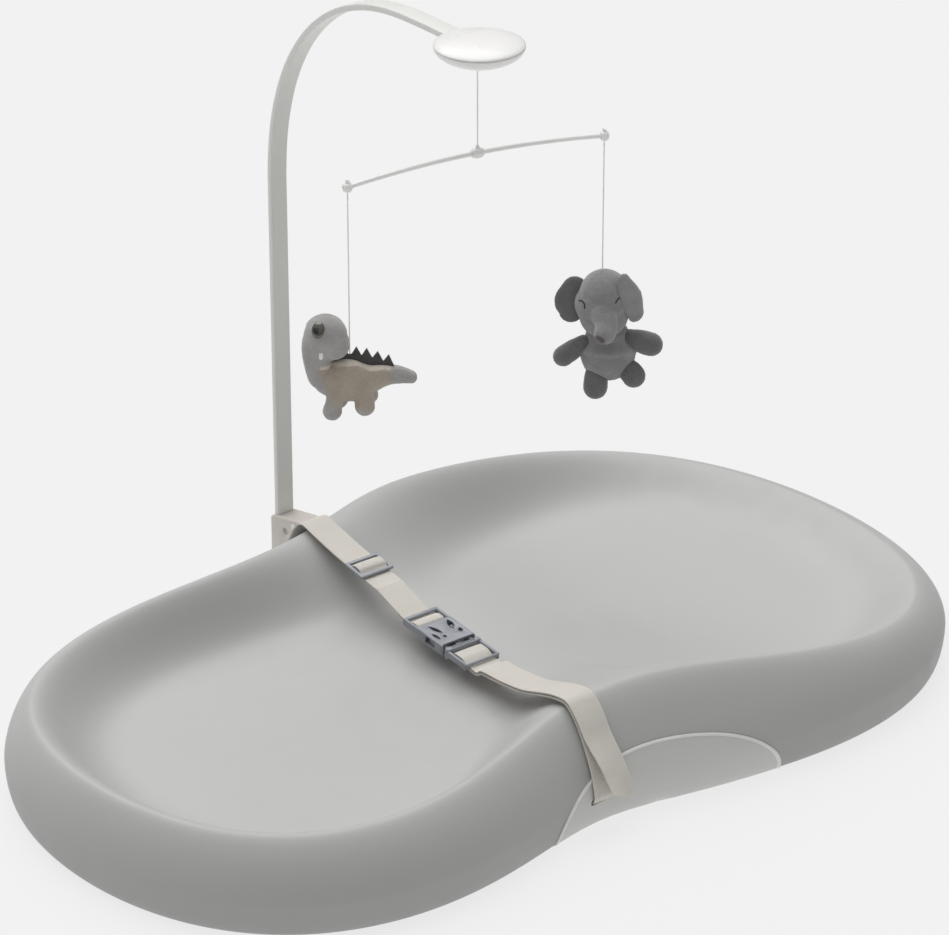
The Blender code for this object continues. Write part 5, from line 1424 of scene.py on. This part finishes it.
def build_elephant():
    face_seam = (0.0005, 0.0008, lambda p: abs(p.x + 0.0018) if p.y < 0.004 else 1.0)
    head = stuffed("elephant_head_plush", [limb(ELEPHANT_HEAD, 36, 9), limb(ELEPHANT_TRUNK, 24, 6)],
                   smooth=8, seams=[face_seam])
    tip = Vector((-0.0060, -0.0345, -0.0425))
    paint(head, panel=lambda p: 1 - ramp((p - tip).length, 0.0042, 0.0058))
    finish_toy(head, ELEPHANT_PLACE, "elephant", ELEPHANT_PLUSH, ["elephant_head"])
    belly_seam = (0.0004, 0.0008, lambda p: abs(p.x - 0.0022) if p.y < 0 else 1.0)
    body = stuffed("elephant_body_plush", [limb(ELEPHANT_BODY, 36, 9)], seams=[belly_seam])
    paint(body, panel=lambda p: 0.0)
    finish_toy(body, ELEPHANT_PLACE, "elephant", ELEPHANT_PLUSH, ["elephant_body"])
    for name, (root, tip_at, thin, thick) in ELEPHANT_LIMBS.items():
        middle = tuple((a + b) / 2 for a, b in zip(root, tip_at))
        stations = [(*root, thin * 0.85, thin * 0.85), (*middle, (thin + thick) / 2, (thin + thick) / 2),
                    (*tip_at, thick, thick * 0.9)]
        piece = stuffed(f"{name}_plush", [limb(stations, 28, 7)])
        paint(piece, panel=lambda p: 0.0)
        finish_toy(piece, ELEPHANT_PLACE, "elephant", ELEPHANT_LIMB, [name])
    for name, stations in ELEPHANT_EARS.items():
        piece = stuffed(f"{name}_plush", [limb(stations, 28, 7)], smooth=3)
        paint(piece, panel=lambda p: 0.0)
        folded = name == "elephant_ear_right"
        if folded:
            piece.data.transform(EAR_FOLD)
        cloth = ELEPHANT_PLUSH if folded else ELEPHANT_LIMB
        finish_toy(piece, ELEPHANT_PLACE, "elephant", cloth, [name])
    left_eye = [(-0.0196, -0.0083, -0.0207), (-0.0178, -0.0110, -0.0198)]
    left_eye += [(-0.0159, -0.0135, -0.0214), (-0.0158, -0.0146, -0.0242)]
    right_eye = [(0.0070, -0.0171, -0.0186), (0.0088, -0.0159, -0.0160)]
    right_eye += [(0.0112, -0.0144, -0.0152), (0.0130, -0.0127, -0.0162)]
    stitched_arc("elephant_eye_left", left_eye, 0.0006, head.data)
    stitched_arc("elephant_eye_right", right_eye, 0.0006, head.data)


# ---------------------------------------------------------------- stage


def paper(name, low, high, glow):
    """Plain pale paper that drifts between two greys and glows a little, like a lit studio sweep."""
    made, n = blank_material(name)
    drift = n.noise(n.place(), 0.8, 2.0)
    n.link(n.mix(drift, (low, low, low), (high, high, high)), n.shader.inputs["Base Color"])
    n.shader.inputs["Emission Color"].default_value = (1.0, 1.0, 1.0, 1.0)
    n.shader.inputs["Emission Strength"].default_value = glow
    n.shader.inputs["Roughness"].default_value = 1.0
    n.shader.inputs["Specular IOR Level"].default_value = 0.0
    return made


def build_stage():
    floor_mesh = bpy.data.meshes.new("floor")
    reach = 14.0
    floor_mesh.from_pydata([(-reach, -reach, 0), (reach, -reach, 0), (reach, reach, 0), (-reach, reach, 0)],
                           [], [(0, 1, 2, 3)])
    floor = bpy.data.objects.new("floor", floor_mesh)
    floor.location = (0, 0, -0.0002)
    bpy.context.scene.collection.objects.link(floor)
    floor_mesh.materials.append(paper("floor_paper", 0.122, 0.128, 0.755))

    around = [2 * math.pi * k / 64 for k in range(64)]
    rings = [[(13.0 * math.cos(a), 13.0 * math.sin(a), z) for a in around] for z in (-0.01, 12.0)]
    backdrop = object_from("backdrop", skin_bmesh(rings, close=False))
    backdrop.data.materials.append(paper("backdrop_paper", 0.0, 0.002, 0.882))
    backdrop.visible_diffuse = False
    backdrop.visible_glossy = False
    backdrop.visible_transmission = False
    backdrop.visible_shadow = False

    world = bpy.data.worlds.new("studio")
    bpy.context.scene.world = world
    world.use_nodes = True
    tree = world.node_tree
    place = tree.nodes.new("ShaderNodeTexCoord")
    split = tree.nodes.new("ShaderNodeSeparateXYZ")
    tree.links.new(place.outputs["Generated"], split.inputs[0])
    ramp_node = tree.nodes.new("ShaderNodeMapRange")
    for key, number in (("From Min", 0.0), ("From Max", 0.9), ("To Min", 0.04), ("To Max", 0.60)):
        ramp_node.inputs[key].default_value = number
    tree.links.new(split.outputs[2], ramp_node.inputs["Value"])
    tree.links.new(ramp_node.outputs["Result"], tree.nodes["Background"].inputs["Strength"])
    tree.nodes["Background"].inputs["Color"].default_value = (1.0, 1.0, 1.0, 1.0)

    sun_data = bpy.data.lights.new("overhead", "SUN")
    sun_data.energy = 2.15
    sun_data.angle = math.radians(64)
    sun = bpy.data.objects.new("overhead", sun_data)
    sun.rotation_euler = (math.radians(-27), math.radians(8), 0)
    bpy.context.scene.collection.objects.link(sun)


# ---------------------------------------------------------------- build
build_strings()
build_pad()
build_plate("strap_plate_front", -1, FRONT_SLOT_Z, "front_plate")
build_plate("strap_plate_rear", 1, REAR_SLOT_Z, "rear_plate")
build_buckle()
build_tri_glide()
build_webbing()
build_arch()
build_socket()
build_housing()
build_mobile_bar()
build_knots()
build_dinosaur()
build_elephant()
for rod_node in ("front_anchor_rod", "rear_anchor_rod"):
    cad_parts[rod_node].data.materials.clear()
    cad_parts[rod_node].data.materials.append(STEEL)
build_stage()
